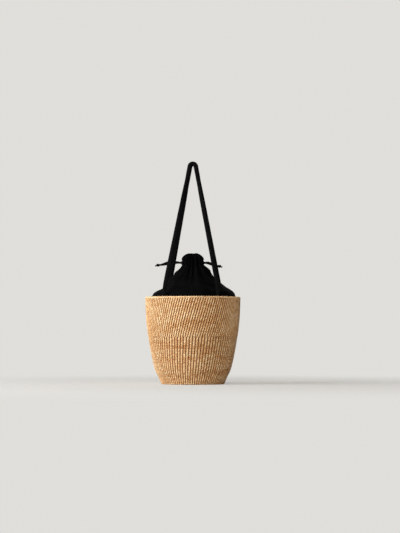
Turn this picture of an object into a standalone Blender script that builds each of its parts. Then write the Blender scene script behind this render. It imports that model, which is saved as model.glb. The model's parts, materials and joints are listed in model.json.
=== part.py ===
"""Twined kiondo basket with a drawstring lining and two long cloth handles.

Metres, +Z up. The origin is the middle of the underside, -Y is the front, and the
basket stands on its base with both handles held up together over its mouth.
"""

import math

import bmesh
import bpy
from mathutils import Matrix, Vector

# Woven basket
BASKET_HEIGHT = 0.220
BASE_RADIUS = 0.0796
RIM_RADIUS = 0.1200
BASE_THICKNESS = 0.0060
WALL_THICKNESS = 0.0055
WEAVE_CHANGE_HEIGHT = 0.119
RIB_COUNT = 92
RIB_LEAN = math.radians(5)
TWILL_RIB_COUNT = 117
TWILL_LEAN = math.radians(16)
RIB_RELIEF = 0.0014
RIM_HEIGHT = 0.0060
RIM_PROUD = 0.0009
# The wall's outline: share of the basket's height, share of its flare from base to rim
FLARE_SHARES = ((0, 0), (0.05, 0.09), (0.12, 0.28), (0.22, 0.48), (0.45, 0.71), (0.62, 0.87), (0.82, 0.965), (1, 1))
BASE_EDGE_SHARE = 0.5
# How far up its zone each ring of the wall's mesh lies: outside going up, then inside coming down
LOWER_RING_SHARES = (0, 0.10, 0.24, 0.52, 1)
LOWER_INNER_SHARES = (1, 0.30, 0)
UPPER_RING_SHARES = (0, 0.33, 0.66, 1)
UPPER_INNER_SHARES = (1, 0.65, 0.30, 0)
# The rim's section: share of its height, share of its overhang outside the wall, share of the wall's width
RIM_SECTION_SHARES = ((0, 0.4, 0), (0.40, 1, 0), (0.82, 0.5, 0), (1, 0, 0.30), (1, 0, 0.80), (0, 0, 1))

# Lining
CLEARANCE = 0.0003
CLOTH_THICKNESS = 0.0015
SEAM_DROP = 0.015
LINING_STEPS = 56
FOLD_COUNT = 14
FOLD_DEPTH = 0.0050
SLOW_WAVE = 0.0016
SLOW_WAVE_COUNTS = (3, 5)
NECK_RISE = 0.0805
CASING_RADIUS = 0.0290
CASING_HEIGHT = 0.0115
CASING_CROWN = 0.0012
CASING_PLEAT = 0.0009
MOUTH_RADIUS = 0.0080
FRILL_RADIUS = 0.0305
FRILL_HEIGHT = 0.0180
FRILL_PLEAT = 0.0022
LINING_RING_SHARES = (0, 0.08, 0.22, 0.52, 1)
# The casing's section: share of its height, share of its crown taken off, whether it is the outside
CASING_SHARES = ((0, 0, 0), (0, 1, 1), (0.5, 0, 1), (1, 1, 1), (1, 0, 0))
# The skirt's outline: share of the way up to the neck, share of the way out from the neck to the seam
SKIRT_SHARES = (
    (0, 1), (0.10, 0.99), (0.19, 0.92), (0.28, 0.87), (0.35, 0.75),
    (0.42, 0.60), (0.54, 0.44), (0.70, 0.30), (0.87, 0.13), (1, 0),
)
# How deep the folds are on the way up the skirt
FOLD_SHARES = ((0, 0), (0.2, 0.35), (0.35, 0.8), (0.55, 1), (0.8, 0.6), (1, 0.28))
# The frill's section: share of its height, share of the way out from the mouth to its edge, share of pleat
FRILL_SHARES = (
    (0, 0.90, 0.4), (0.12, 1, 0.6), (0.42, 0.87, 0.9), (0.74, 0.60, 1),
    (0.95, 0.34, 1), (1, 0.18, 0.9), (0.80, 0.05, 0.4), (0, 0, 0),
)

# Handles
STRAP_WIDTH = 0.0095
STRAP_THICKNESS = 0.0050
STRAP_SIDES = 10
TAB_THICKNESS = 0.0025
TAB_LENGTH = 0.040
HANDLE_HALF_SPAN = 0.067
HANDLE_RISE = 0.3380
APEX_BEND_RADIUS = 0.0075
APEX_GAP = 0.0008
LEG_BEND_LENGTH = 0.030
LEG_STEPS = 9
LEG_SPACING_POWER = 1.3
TANGENT_ROUNDS = 20
ARC_STEPS = 6
END_STEPS = 3
END_TIP_SHARE = 0.2
# How far the strap has turned from edge on, at the apex, to flat, at the rim, on the way down its leg
TURN_SHARES = ((0, 0), (0.12, 0.10), (0.35, 0.72), (0.55, 1), (1, 1))

# Drawstrings
STRING_DIAMETER = 0.0050
STRING_CLEARANCE = 0.0004
STRING_SPACING = 0.0130
STRING_POINT_GAP = 0.0100
KNOT_LENGTH = 0.0090
KNOT_WIDTH = 0.0110
KNOT_HEIGHT = 0.0080
KNOT_TILT = math.radians(32)
KNOT_TURN_SHARE = 0.26
KNOT_CORE_SHARE = 2 / 3
KNOT_TURN_STEPS = 14
KNOT_TURN_SIDES = 8
BORE_SIDES = 12
CUTTER_OVERRUN = 0.010
# Each string's route from where it leaves the casing: outwards, towards its fellow, up
LEFT_FRONT_ROUTE = (
    (-0.0220, 0, 0), (-0.0100, 0, 0), (0.0020, 0, 0), (0.0140, 0.0026, -0.0004),
    (0.0320, 0.0068, -0.0026), (0.0480, 0.0094, -0.0046), (0.0575, 0.0101, -0.0053),
)
LEFT_BACK_ROUTE = (
    (-0.0220, 0, 0), (-0.0100, 0, 0), (0.0020, 0, 0), (0.0140, 0.0024, 0.0022),
    (0.0320, 0.0066, 0.0036), (0.0480, 0.0094, -0.0022), (0.0575, 0.0101, -0.0053),
)
RIGHT_FRONT_ROUTE = (
    (-0.0220, 0, 0), (-0.0100, 0, 0), (0.0020, 0, 0),
    (0.0120, 0.0032, -0.0018), (0.0240, 0.0080, -0.0056), (0.0365, 0.0101, -0.0085),
)
RIGHT_BACK_ROUTE = (
    (-0.0220, 0, 0), (-0.0100, 0, 0), (0.0020, 0, 0),
    (0.0120, 0.0032, 0.0012), (0.0240, 0.0080, -0.0032), (0.0365, 0.0101, -0.0085),
)

# Small values that only keep meshes whole and smooth
WELD_DISTANCE = 0.00001
SIGHT_STEP = 0.0005
SHARP_ANGLE = math.radians(40)

# Places that follow from the sizes
UP = Vector((0, 0, 1))
LINING_GAP = TAB_THICKNESS + 2 * CLEARANCE
SEAM_HEIGHT = BASKET_HEIGHT - SEAM_DROP
SKIRT_HEIGHT = SEAM_HEIGHT + 2 * CLEARANCE
NECK_HEIGHT = BASKET_HEIGHT + NECK_RISE
NECK_RADIUS = CASING_RADIUS - 2 * CLOTH_THICKNESS
CASING_MIDDLE = NECK_HEIGHT + CASING_HEIGHT / 2
FRILL_BASE_HEIGHT = NECK_HEIGHT + CASING_HEIGHT + CLEARANCE
STRING_EXIT = math.sqrt(CASING_RADIUS ** 2 - STRING_SPACING ** 2)
HINGE_HEIGHT = BASKET_HEIGHT + STRAP_THICKNESS / 2 + CLEARANCE


def through_pairs(pairs, place):
    """Value at a place on the smooth curve through hand-chosen pairs."""
    last = len(pairs) - 2
    left = min(last, sum(1 for pair in pairs[1:-1] if pair[0] <= place))
    slopes = []
    for index in (left, left + 1):
        before = pairs[max(index - 1, 0)]
        after = pairs[min(index + 1, last + 1)]
        slopes.append((after[1] - before[1]) / (after[0] - before[0]))
    (start, low), (end, high) = pairs[left], pairs[left + 1]
    span = end - start
    along = (place - start) / span
    return (
        low * (1 + 2 * along) * (1 - along) ** 2
        + slopes[0] * span * along * (1 - along) ** 2
        + high * along ** 2 * (3 - 2 * along)
        - slopes[1] * span * along ** 2 * (1 - along)
    )


def outer_radius(height):
    """The woven wall's outer radius, without its ribs' relief."""
    flare = through_pairs(FLARE_SHARES, height / BASKET_HEIGHT)
    return BASE_RADIUS + (RIM_RADIUS - BASE_RADIUS) * flare


def inner_radius(height):
    """The woven wall's smooth inner radius."""
    return outer_radius(height) - WALL_THICKNESS


def lining_radius(height):
    """The lining's outer radius inside the wall, with room for the handles' ends."""
    return inner_radius(height) - LINING_GAP


def between(low, high, share):
    """The place that a share of the way from low to high gives."""
    return low + (high - low) * share


def material(name, colour, roughness):
    """A plain Principled material."""
    made = bpy.data.materials.new(name)
    made.use_nodes = True
    shader = made.node_tree.nodes["Principled BSDF"]
    shader.inputs["Base Color"].default_value = (*colour, 1)
    shader.inputs["Roughness"].default_value = roughness
    shader.inputs["Metallic"].default_value = 0
    made.diffuse_color = (*colour, 1)
    return made


def place_object(name, data, finish, location=(0, 0, 0)):
    """A named object for a mesh or curve, with its material."""
    made = bpy.data.objects.new(name, data)
    made.location = location
    bpy.context.scene.collection.objects.link(made)
    if finish is not None:
        data.materials.append(finish)
    return made


def mesh_from(bm, name):
    """A smooth-shaded mesh from a bmesh, with its faces pointing out."""
    bmesh.ops.recalc_face_normals(bm, faces=bm.faces)
    mesh = bpy.data.meshes.new(name)
    bm.to_mesh(mesh)
    bm.free()
    mesh.shade_smooth()
    mesh.set_sharp_from_angle(angle=SHARP_ANGLE)
    return mesh


def turn_profile(bm, profile, steps, closed=True):
    """Adds (radius, height) points turned about Z; a closed profile makes a ring."""
    points = [bm.verts.new((radius, 0, height)) for radius, height in profile]
    edges = [bm.edges.new(pair) for pair in zip(points, points[1:])]
    if closed:
        edges.append(bm.edges.new((points[-1], points[0])))
    bmesh.ops.spin(
        bm, geom=points + edges, cent=(0, 0, 0), axis=UP, angle=math.tau, steps=steps, use_merge=True,
    )
    bmesh.ops.remove_doubles(bm, verts=bm.verts, dist=WELD_DISTANCE)


def turned(profile, steps, closed=True):
    """A new bmesh of a profile turned about Z."""
    bm = bmesh.new()
    turn_profile(bm, profile, steps, closed)
    return bm


def close_ring(bm, height):
    """Joins the inside and outside of an open double tube at one height."""
    ends = [edge for edge in bm.edges if edge.is_boundary
            and all(abs(vertex.co.z - height) < WELD_DISTANCE for vertex in edge.verts)]
    bmesh.ops.bridge_loops(bm, edges=ends)


def move_out(vertex, distance):
    """Moves a vertex away from the Z axis."""
    vertex.co += Vector((vertex.co.x, vertex.co.y, 0)).normalized() * distance


def is_crest(point, count):
    """Whether a point is on one of so many ridges round the Z axis, and not in a hollow between them."""
    return round(math.atan2(point.y, point.x) * count / math.pi) % 2 == 0


def raise_ribs(bm, is_outside, count, lean=0, foot=0):
    """Lifts every second column of the outside into a rib, and leans the ribs from the foot up."""
    for vertex in bm.verts:
        if is_outside(vertex.co):
            move_out(vertex, RIB_RELIEF / 2 if is_crest(vertex.co, count) else -RIB_RELIEF / 2)
        turn = math.tan(lean) * (vertex.co.z - foot) / RIM_RADIUS
        vertex.co.rotate(Matrix.Rotation(turn, 3, UP))


def beyond_wall_middle(point):
    """Whether a point lies in the outer half of the woven wall."""
    return math.hypot(point.x, point.y) > outer_radius(point.z) - WALL_THICKNESS / 2


def basket_base(straw):
    """The flat woven bottom, whose edge carries the feet of the ribs."""
    edge = BASE_THICKNESS * BASE_EDGE_SHARE
    profile = [
        (0, 0),
        (outer_radius(0) - edge, 0),
        (outer_radius(edge), edge),
        (outer_radius(BASE_THICKNESS), BASE_THICKNESS),
        (0, BASE_THICKNESS),
    ]
    bm = turned(profile, 2 * RIB_COUNT, closed=False)
    raise_ribs(bm, lambda point: point.z > 0 and beyond_wall_middle(point), RIB_COUNT)
    return place_object("basket_base", mesh_from(bm, "basket_base"), straw)


def wall_band(name, low, high, ring_shares, ribs, straw):
    """One zone of the woven wall, a ring with ribs outside and a smooth inside."""
    count, lean = ribs
    outside, inside = [[between(low, high, share) for share in shares] for shares in ring_shares]
    bm = turned([(outer_radius(height), height) for height in outside], 2 * count, closed=False)
    raise_ribs(bm, beyond_wall_middle, count, lean, low)
    turn_profile(bm, [(inner_radius(height), height) for height in inside], RIB_COUNT, closed=False)
    close_ring(bm, low)
    close_ring(bm, high)
    return place_object(name, mesh_from(bm, name), straw)


def basket_walls(straw):
    """The plain twined lower zone, and above it the zone of finer ribs that lean more."""
    foot = BASE_THICKNESS + CLEARANCE
    change = WEAVE_CHANGE_HEIGHT
    top = BASKET_HEIGHT - RIM_HEIGHT - CLEARANCE
    lower_shares = (LOWER_RING_SHARES, LOWER_INNER_SHARES)
    upper_shares = (UPPER_RING_SHARES, UPPER_INNER_SHARES)
    wall_band("basket_wall_lower", foot, change, lower_shares, (RIB_COUNT, RIB_LEAN), straw)
    wall_band("basket_wall_upper", change + CLEARANCE, top, upper_shares, (TWILL_RIB_COUNT, TWILL_LEAN), straw)


def basket_rim(straw):
    """The bound edge, scalloped by the stakes that turn in over it."""
    foot = BASKET_HEIGHT - RIM_HEIGHT
    profile = []
    for height_share, proud_share, width_share in RIM_SECTION_SHARES:
        radius = RIM_RADIUS + RIM_PROUD * proud_share - WALL_THICKNESS * width_share
        profile.append((radius, foot + RIM_HEIGHT * height_share))
    bm = turned(profile, 2 * TWILL_RIB_COUNT)
    middle = RIM_RADIUS - WALL_THICKNESS / 2
    raise_ribs(bm, lambda point: math.hypot(point.x, point.y) > middle, TWILL_RIB_COUNT)
    return place_object("basket_rim", mesh_from(bm, "basket_rim"), straw)


def lining_bottom(cloth):
    """The lining's round bottom, lying on the woven base."""
    low = BASE_THICKNESS + CLEARANCE
    high = low + CLOTH_THICKNESS
    edge = lining_radius(low)
    bm = turned([(0, low), (edge, low), (edge, high), (0, high)], LINING_STEPS, closed=False)
    return place_object("lining_bottom", mesh_from(bm, "lining_bottom"), cloth)


def lining_wall(cloth):
    """The lining's tube, from its bottom up to the seam with the skirt."""
    low = BASE_THICKNESS + CLOTH_THICKNESS + 2 * CLEARANCE
    heights = [between(low, SEAM_HEIGHT, share) for share in LINING_RING_SHARES]
    profile = [(lining_radius(height), height) for height in heights]
    profile += [(lining_radius(height) - CLOTH_THICKNESS, height) for height in reversed(heights)]
    bm = turned(profile, LINING_STEPS)
    return place_object("lining_wall", mesh_from(bm, "lining_wall"), cloth)


def skirt_point(share):
    """A point on the skirt's outline, as radius and height, a share of the way up."""
    high = NECK_HEIGHT - CLEARANCE
    radius = between(NECK_RADIUS, lining_radius(SEAM_HEIGHT), through_pairs(SKIRT_SHARES, share))
    return radius, between(SKIRT_HEIGHT, high, share)


def fold_depth(share, angle):
    """How far the cloth's folds push it out, a share of the way up and at an angle round."""
    deep = FOLD_DEPTH * math.cos(FOLD_COUNT * angle)
    few, more = SLOW_WAVE_COUNTS
    slow = SLOW_WAVE * (math.sin(few * angle + 1) + math.cos(more * angle))
    return through_pairs(FOLD_SHARES, share) * (deep + slow)


def lining_skirt(cloth):
    """The cloth drawn in from the rim to the neck in radiating folds."""
    shares = [pair[0] for pair in SKIRT_SHARES]
    bm = turned([skirt_point(share) for share in shares], LINING_STEPS, closed=False)
    rise = NECK_HEIGHT - CLEARANCE - SKIRT_HEIGHT
    for vertex in bm.verts:
        share = (vertex.co.z - SKIRT_HEIGHT) / rise
        below = skirt_point(max(share - SIGHT_STEP / rise, 0))
        above = skirt_point(min(share + SIGHT_STEP / rise, 1))
        slope = Vector((above[1] - below[1], below[0] - above[0])).normalized()
        depth = fold_depth(share, math.atan2(vertex.co.y, vertex.co.x))
        is_edge = vertex.is_boundary
        move_out(vertex, depth if is_edge else depth * slope.x)
        vertex.co.z += 0 if is_edge else depth * slope.y
    skirt = place_object("lining_skirt", mesh_from(bm, "lining_skirt"), cloth)
    shell = skirt.modifiers.new("cloth", "SOLIDIFY")
    shell.thickness = CLOTH_THICKNESS
    shell.offset = -1
    return skirt


def pleated(profile, depths):
    """A closed profile turned about Z, whose points then go in and out in pleats of their own depths."""
    bm = turned(profile, LINING_STEPS)
    for vertex in bm.verts:
        place = (math.hypot(vertex.co.x, vertex.co.y), vertex.co.z)
        nearest = min(range(len(profile)), key=lambda index: math.dist(profile[index], place))
        depth = depths[nearest] / 2
        move_out(vertex, depth if is_crest(vertex.co, LINING_STEPS / 2) else -depth)
    return bm


def string_bore(side):
    """A hidden cutter for the straight run that one pair of strings has through the casing."""
    bm = bmesh.new()
    along = Matrix.Translation((0, side * STRING_SPACING, CASING_MIDDLE))
    radius = STRING_DIAMETER / 2 + STRING_CLEARANCE
    bmesh.ops.create_cone(
        bm, cap_ends=True, segments=BORE_SIDES, radius1=radius, radius2=radius,
        depth=2 * (CASING_RADIUS + CUTTER_OVERRUN), matrix=along @ Matrix.Rotation(math.pi / 2, 4, "Y"),
    )
    cutter = place_object("string_bore_cutter", mesh_from(bm, "string_bore_cutter"), None)
    cutter.hide_render = True
    cutter.display_type = "WIRE"
    return cutter


def drawstring_casing(cloth):
    """The gathered channel round the neck, bored for the strings in front and behind."""
    profile = []
    for height_share, crown_share, is_outside in CASING_SHARES:
        radius = CASING_RADIUS - CASING_CROWN * crown_share if is_outside else MOUTH_RADIUS
        profile.append((radius, NECK_HEIGHT + CASING_HEIGHT * height_share))
    bm = pleated(profile, [CASING_PLEAT * is_outside for _, _, is_outside in CASING_SHARES])
    casing = place_object("drawstring_casing", mesh_from(bm, "drawstring_casing"), cloth)
    for side in (-1, 1):
        cut = casing.modifiers.new("string_bore", "BOOLEAN")
        cut.operation = "DIFFERENCE"
        cut.object = string_bore(side)
    return casing


def gathered_frill(cloth):
    """The puckered cloth that stands above the casing."""
    profile = []
    for height_share, out_share, _ in FRILL_SHARES:
        radius = between(MOUTH_RADIUS, FRILL_RADIUS, out_share)
        profile.append((radius, FRILL_BASE_HEIGHT + FRILL_HEIGHT * height_share))
    bm = pleated(profile, [FRILL_PLEAT * pleat_share for _, _, pleat_share in FRILL_SHARES])
    return place_object("gathered_frill", mesh_from(bm, "gathered_frill"), cloth)


def swept(sections, sides):
    """A bmesh of one closed solid through sections, each a matrix that places a unit circle."""
    bm = bmesh.new()
    rings = []
    for index, section in enumerate(sections):
        is_end = index in (0, len(sections) - 1)
        ring = bmesh.ops.create_circle(bm, cap_ends=is_end, segments=sides, radius=1, matrix=section)["verts"]
        rings.append(list({edge for vertex in ring for edge in vertex.link_edges}))
    for near, far in zip(rings, rings[1:]):
        bmesh.ops.bridge_loops(bm, edges=near + far)
    return bm


def section_at(centre, across, through, half_width, half_thickness):
    """The matrix of an oval section, from its middle and its two directions."""
    wide = across * half_width
    thick = through * half_thickness
    square = across.cross(through)
    turned_in = Matrix((wide, thick, square)).transposed().to_4x4()
    return Matrix.Translation(centre) @ turned_in


def hinge_distance():
    """How far in front of the axis, or behind it, the handles are sewn in."""
    reach = inner_radius(BASKET_HEIGHT) - CLEARANCE - TAB_THICKNESS / 2
    return math.sqrt(reach ** 2 - HANDLE_HALF_SPAN ** 2)


def handle_plane():
    """The handle's length from hinge to apex, and its lean in over the mouth."""
    inward = hinge_distance() - STRAP_WIDTH / 2 - APEX_GAP
    return math.hypot(inward, HANDLE_RISE), math.atan2(inward, HANDLE_RISE)


def leg_path():
    """Points on one leg in the handle's own plane, hinge to apex, as (out, up, tilt) with its bend."""
    length, _ = handle_plane()
    centre_up = length - APEX_BEND_RADIUS
    tilt = 0
    for _ in range(TANGENT_ROUNDS):
        run = HANDLE_HALF_SPAN - APEX_BEND_RADIUS * math.cos(tilt)
        rise = centre_up + APEX_BEND_RADIUS * math.sin(tilt) - LEG_BEND_LENGTH / 2
        tilt = math.atan2(run, rise)
    slope = math.tan(tilt)
    tangent_up = centre_up + APEX_BEND_RADIUS * math.sin(tilt)
    points = []
    for step in range(LEG_STEPS):
        up = tangent_up * (step / LEG_STEPS) ** LEG_SPACING_POWER
        bent = up ** 2 / (2 * LEG_BEND_LENGTH) if up < LEG_BEND_LENGTH else up - LEG_BEND_LENGTH / 2
        points.append((HANDLE_HALF_SPAN - slope * bent, up, math.atan(slope * min(up / LEG_BEND_LENGTH, 1))))
    for step in range(ARC_STEPS // 2 + 1):
        swing = between(tilt, math.pi / 2, step / (ARC_STEPS // 2))
        out = APEX_BEND_RADIUS * math.cos(swing)
        points.append((out, centre_up + APEX_BEND_RADIUS * math.sin(swing), swing))
    return points


def strap_section(out, up, tilt, side):
    """A section of the strap, flat at the rim and turned edge on at the apex."""
    length, lean = handle_plane()
    away = Vector((0, -math.cos(lean), math.sin(lean)))
    rise = Vector((0, math.sin(lean), math.cos(lean)))
    forward = Vector((-side * math.sin(tilt), 0, 0)) + rise * math.cos(tilt)
    outward = forward.cross(away) * side
    turn = through_pairs(TURN_SHARES, 1 - min(max(up, 0) / length, 1)) * math.pi / 2
    across = (away * math.cos(turn) + outward * math.sin(turn)).normalized()
    centre = Vector((side * out, 0, 0)) + rise * up
    return centre, across, forward.cross(across).normalized()


def handle_sections():
    """The strap's sections from one rounded end over the apex to the other."""
    half_width = STRAP_WIDTH / 2
    half_thickness = STRAP_THICKNESS / 2
    leg = leg_path()
    half = []
    for step in range(END_STEPS):
        round_off = math.pi / 2 * (1 - step / END_STEPS)
        up = -half_thickness * math.sin(round_off)
        thin = half_thickness * max(math.cos(round_off), END_TIP_SHARE)
        half.append((HANDLE_HALF_SPAN, up, 0, thin))
    half += [(out, up, tilt, half_thickness) for out, up, tilt in leg]
    sections = []
    for side, stretch in ((1, half), (-1, list(reversed(half))[1:])):
        for out, up, tilt, thin in stretch:
            sections.append(section_at(*strap_section(out, up, tilt, side), half_width, thin))
    return sections


def handles(strap_cloth):
    """The two long straps; each turns about the line between its sewn-in ends."""
    mesh = mesh_from(swept(handle_sections(), STRAP_SIDES), "handle")
    front = place_object("front_handle", mesh, strap_cloth, (0, -hinge_distance(), HINGE_HEIGHT))
    back = place_object("back_handle", mesh, None, (0, hinge_distance(), HINGE_HEIGHT))
    back.rotation_euler.z = math.pi
    return front, back


def handle_tab(name, side_x, side_y, strap_cloth):
    """The strap's flat end, held between the wall and the lining below the rim."""
    angle = math.atan2(side_y * hinge_distance(), side_x * HANDLE_HALF_SPAN)
    outward = Vector((math.cos(angle), math.sin(angle), 0))
    along_wall = UP.cross(outward)
    sections = []
    for share in (0, 1 / 2, 1):
        height = BASKET_HEIGHT - TAB_LENGTH * share
        middle = outward * (inner_radius(height) - CLEARANCE - TAB_THICKNESS / 2) + UP * height
        corner = Matrix.Rotation(math.pi / 4, 4, "Z") @ Matrix.Scale(math.sqrt(2), 4)
        flat = section_at(middle, along_wall, outward, STRAP_WIDTH / 2, TAB_THICKNESS / 2)
        sections.append(flat @ corner)
    return place_object(name, mesh_from(swept(sections, 4), name), strap_cloth)


def smooth_route(route):
    """Points every two diameters on a smooth curve through a route's own points."""
    points = [Vector(point) for point in route]
    points = [2 * points[0] - points[1]] + points + [2 * points[-1] - points[-2]]
    smooth = []
    for index in range(1, len(points) - 2):
        before, start, end, after = points[index - 1:index + 3]
        steps = max(1, round((end - start).length / STRING_POINT_GAP))
        for step in range(steps):
            along = step / steps
            smooth.append(
                (
                    start * 2
                    + (end - before) * along
                    + (before * 2 - start * 5 + end * 4 - after) * along ** 2
                    + (start * 3 - before - end * 3 + after) * along ** 3
                )
                / 2
            )
    smooth.append(points[-2])
    return smooth


def string_end(name, side_x, side_y, route, cord):
    """One end of a drawstring, from inside the casing to its knot."""
    curve = bpy.data.curves.new(name, "CURVE")
    curve.dimensions = "3D"
    curve.bevel_depth = STRING_DIAMETER / 2
    curve.bevel_resolution = 2
    curve.use_fill_caps = True
    points = smooth_route(route)
    spline = curve.splines.new("POLY")
    spline.points.add(len(points) - 1)
    for target, (outwards, inwards, up) in zip(spline.points, points):
        target.co = (side_x * outwards, -side_y * inwards, up, 1)
    location = (side_x * STRING_EXIT, side_y * STRING_SPACING, CASING_MIDDLE)
    return place_object(name, curve, cord, location)


def knot_turn(name, tilt):
    """One fat turn of a knot, as a ring about X leaned over by its tilt."""
    minor = KNOT_HEIGHT * KNOT_TURN_SHARE
    major = KNOT_HEIGHT / 2 - minor
    circle = [math.tau * step / KNOT_TURN_SIDES for step in range(KNOT_TURN_SIDES)]
    profile = [(major + minor * math.cos(angle), minor * math.sin(angle)) for angle in circle]
    bm = turned(profile, KNOT_TURN_STEPS)
    shape = Matrix.Diagonal((1, KNOT_WIDTH / KNOT_HEIGHT, 1))
    lay = Matrix.Rotation(tilt, 3, "Z") @ shape @ Matrix.Rotation(math.pi / 2, 3, "Y")
    bmesh.ops.transform(bm, matrix=lay.to_4x4(), verts=bm.verts)
    return mesh_from(bm, name)


def string_knot(name, side_x, route, cord):
    """The knot that joins a drawstring's two ends: two crossing turns round a core."""
    end = Vector(route[-1])
    middle = Vector((side_x * (STRING_EXIT + end.x + CLEARANCE + KNOT_LENGTH / 2), 0, CASING_MIDDLE + end.z))
    bm = bmesh.new()
    core_width, core_height = KNOT_WIDTH * KNOT_CORE_SHARE, KNOT_HEIGHT * KNOT_CORE_SHARE
    core = Matrix.Diagonal((KNOT_LENGTH / 2, core_width / 2, core_height / 2, 1))
    bmesh.ops.create_uvsphere(bm, u_segments=10, v_segments=6, radius=1, matrix=core)
    knot = place_object(name, mesh_from(bm, name), cord, middle)
    for tilt in (-KNOT_TILT, KNOT_TILT):
        turn = place_object("knot_turn", knot_turn("knot_turn", tilt), None, middle)
        turn.hide_render = True
        turn.display_type = "WIRE"
        join = knot.modifiers.new("turn", "BOOLEAN")
        join.operation = "UNION"
        join.object = turn
    return knot


def drawstrings(cord):
    """Both drawstrings, each with two ends that leave the casing and meet in a knot."""
    pairs = (("left", -1, LEFT_FRONT_ROUTE, LEFT_BACK_ROUTE), ("right", 1, RIGHT_FRONT_ROUTE, RIGHT_BACK_ROUTE))
    for hand, side_x, front_route, back_route in pairs:
        string_end(f"{hand}_string_front", side_x, -1, front_route, cord)
        string_end(f"{hand}_string_back", side_x, 1, back_route, cord)
        string_knot(f"{hand}_knot", side_x, front_route, cord)


def main():
    """Builds the whole basket."""
    for existing in list(bpy.data.objects):
        bpy.data.objects.remove(existing)
    straw = material("straw", (0.50, 0.31, 0.15), 0.75)
    cloth = material("black_cotton", (0.012, 0.012, 0.014), 0.9)
    strap_cloth = material("black_strap", (0.014, 0.014, 0.016), 0.85)
    cord = material("black_cord", (0.016, 0.016, 0.018), 0.8)
    basket_base(straw)
    basket_walls(straw)
    basket_rim(straw)
    lining_bottom(cloth)
    lining_wall(cloth)
    lining_skirt(cloth)
    drawstring_casing(cloth)
    gathered_frill(cloth)
    handles(strap_cloth)
    for front_or_back, side_y in (("front", -1), ("back", 1)):
        for hand, side_x in (("left", -1), ("right", 1)):
            handle_tab(f"{front_or_back}_{hand}_tab", side_x, side_y, strap_cloth)
    drawstrings(cord)


main()
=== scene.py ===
"""Looks of a twined basket with a drawstring lining and two long cloth handles.

Metres, +Z up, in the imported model's own frame. The woven wall is made stitch by stitch, the
lining as gathered cloth, the handles as sewn straps and the drawstrings as braided cords.
"""

import json
import logging
import math
import random
from collections.abc import Callable
from dataclasses import dataclass, field
from enum import Enum

import bmesh
import bpy
from mathutils import Matrix, Vector, noise


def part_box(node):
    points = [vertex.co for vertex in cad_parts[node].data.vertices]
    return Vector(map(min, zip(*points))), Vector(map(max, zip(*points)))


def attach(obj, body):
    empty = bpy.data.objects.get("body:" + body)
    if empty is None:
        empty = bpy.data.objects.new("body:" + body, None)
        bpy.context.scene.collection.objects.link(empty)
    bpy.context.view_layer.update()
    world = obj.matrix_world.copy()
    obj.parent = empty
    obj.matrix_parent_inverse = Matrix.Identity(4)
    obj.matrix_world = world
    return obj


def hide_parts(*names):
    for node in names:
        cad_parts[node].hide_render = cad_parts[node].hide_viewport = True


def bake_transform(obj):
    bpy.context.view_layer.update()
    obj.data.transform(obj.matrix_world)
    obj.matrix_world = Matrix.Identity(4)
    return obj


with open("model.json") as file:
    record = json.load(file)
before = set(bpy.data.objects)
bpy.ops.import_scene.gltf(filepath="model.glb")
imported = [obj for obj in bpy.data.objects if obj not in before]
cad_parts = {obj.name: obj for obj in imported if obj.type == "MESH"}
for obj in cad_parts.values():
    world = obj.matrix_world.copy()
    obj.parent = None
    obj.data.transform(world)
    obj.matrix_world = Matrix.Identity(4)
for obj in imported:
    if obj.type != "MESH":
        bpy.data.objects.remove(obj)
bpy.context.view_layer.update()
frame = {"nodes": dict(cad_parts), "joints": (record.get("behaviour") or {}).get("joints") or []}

log = logging.getLogger("basket")

UP = Vector((0, 0, 1))
WELD = 0.00001
MM = 0.001

Point = tuple[float, float, float]
Place = Callable[[float, float], Vector]


def between(low: float, high: float, share: float) -> float:
    """Gives the value a share of the way from low to high."""
    return low + (high - low) * share


def ease(share: float) -> float:
    """Gives a smooth step from 0 to 1, flat at both ends."""
    held = min(max(share, 0), 1)
    return held * held * (3 - 2 * held)


def through_pairs(pairs: tuple, place: float) -> float:
    """Gives the value at a place on the smooth curve through given pairs.

    Args:
        pairs: (place, value) pairs with rising places.
        place: where on the curve.

    Returns:
        The value there, and beyond the ends that of the nearer end.
    """
    held = min(max(place, pairs[0][0]), pairs[-1][0])
    last = len(pairs) - 2
    left = min(last, sum(1 for pair in pairs[1:-1] if pair[0] <= held))
    slopes = []
    for index in (left, left + 1):
        before = pairs[max(index - 1, 0)]
        after = pairs[min(index + 1, last + 1)]
        slopes.append((after[1] - before[1]) / (after[0] - before[0]))
    (start, low), (end, high) = pairs[left], pairs[left + 1]
    span = end - start
    along = (held - start) / span
    return (
        low * (1 + 2 * along) * (1 - along) ** 2
        + slopes[0] * span * along * (1 - along) ** 2
        + high * along ** 2 * (3 - 2 * along)
        - slopes[1] * span * along ** 2 * (1 - along)
    )


class Body(Enum):
    """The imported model's moving bodies."""

    BAG = "bag"
    FRONT_HANDLE = "front_handle"
    BACK_HANDLE = "back_handle"
    LEFT_STRING = "left_drawstring"
    RIGHT_STRING = "right_drawstring"


class Slot(Enum):
    """The record's material slots."""

    STRAW = "straw"
    LINING = "lining"
    STRAP = "strap"
    CORD = "cord"


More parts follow.
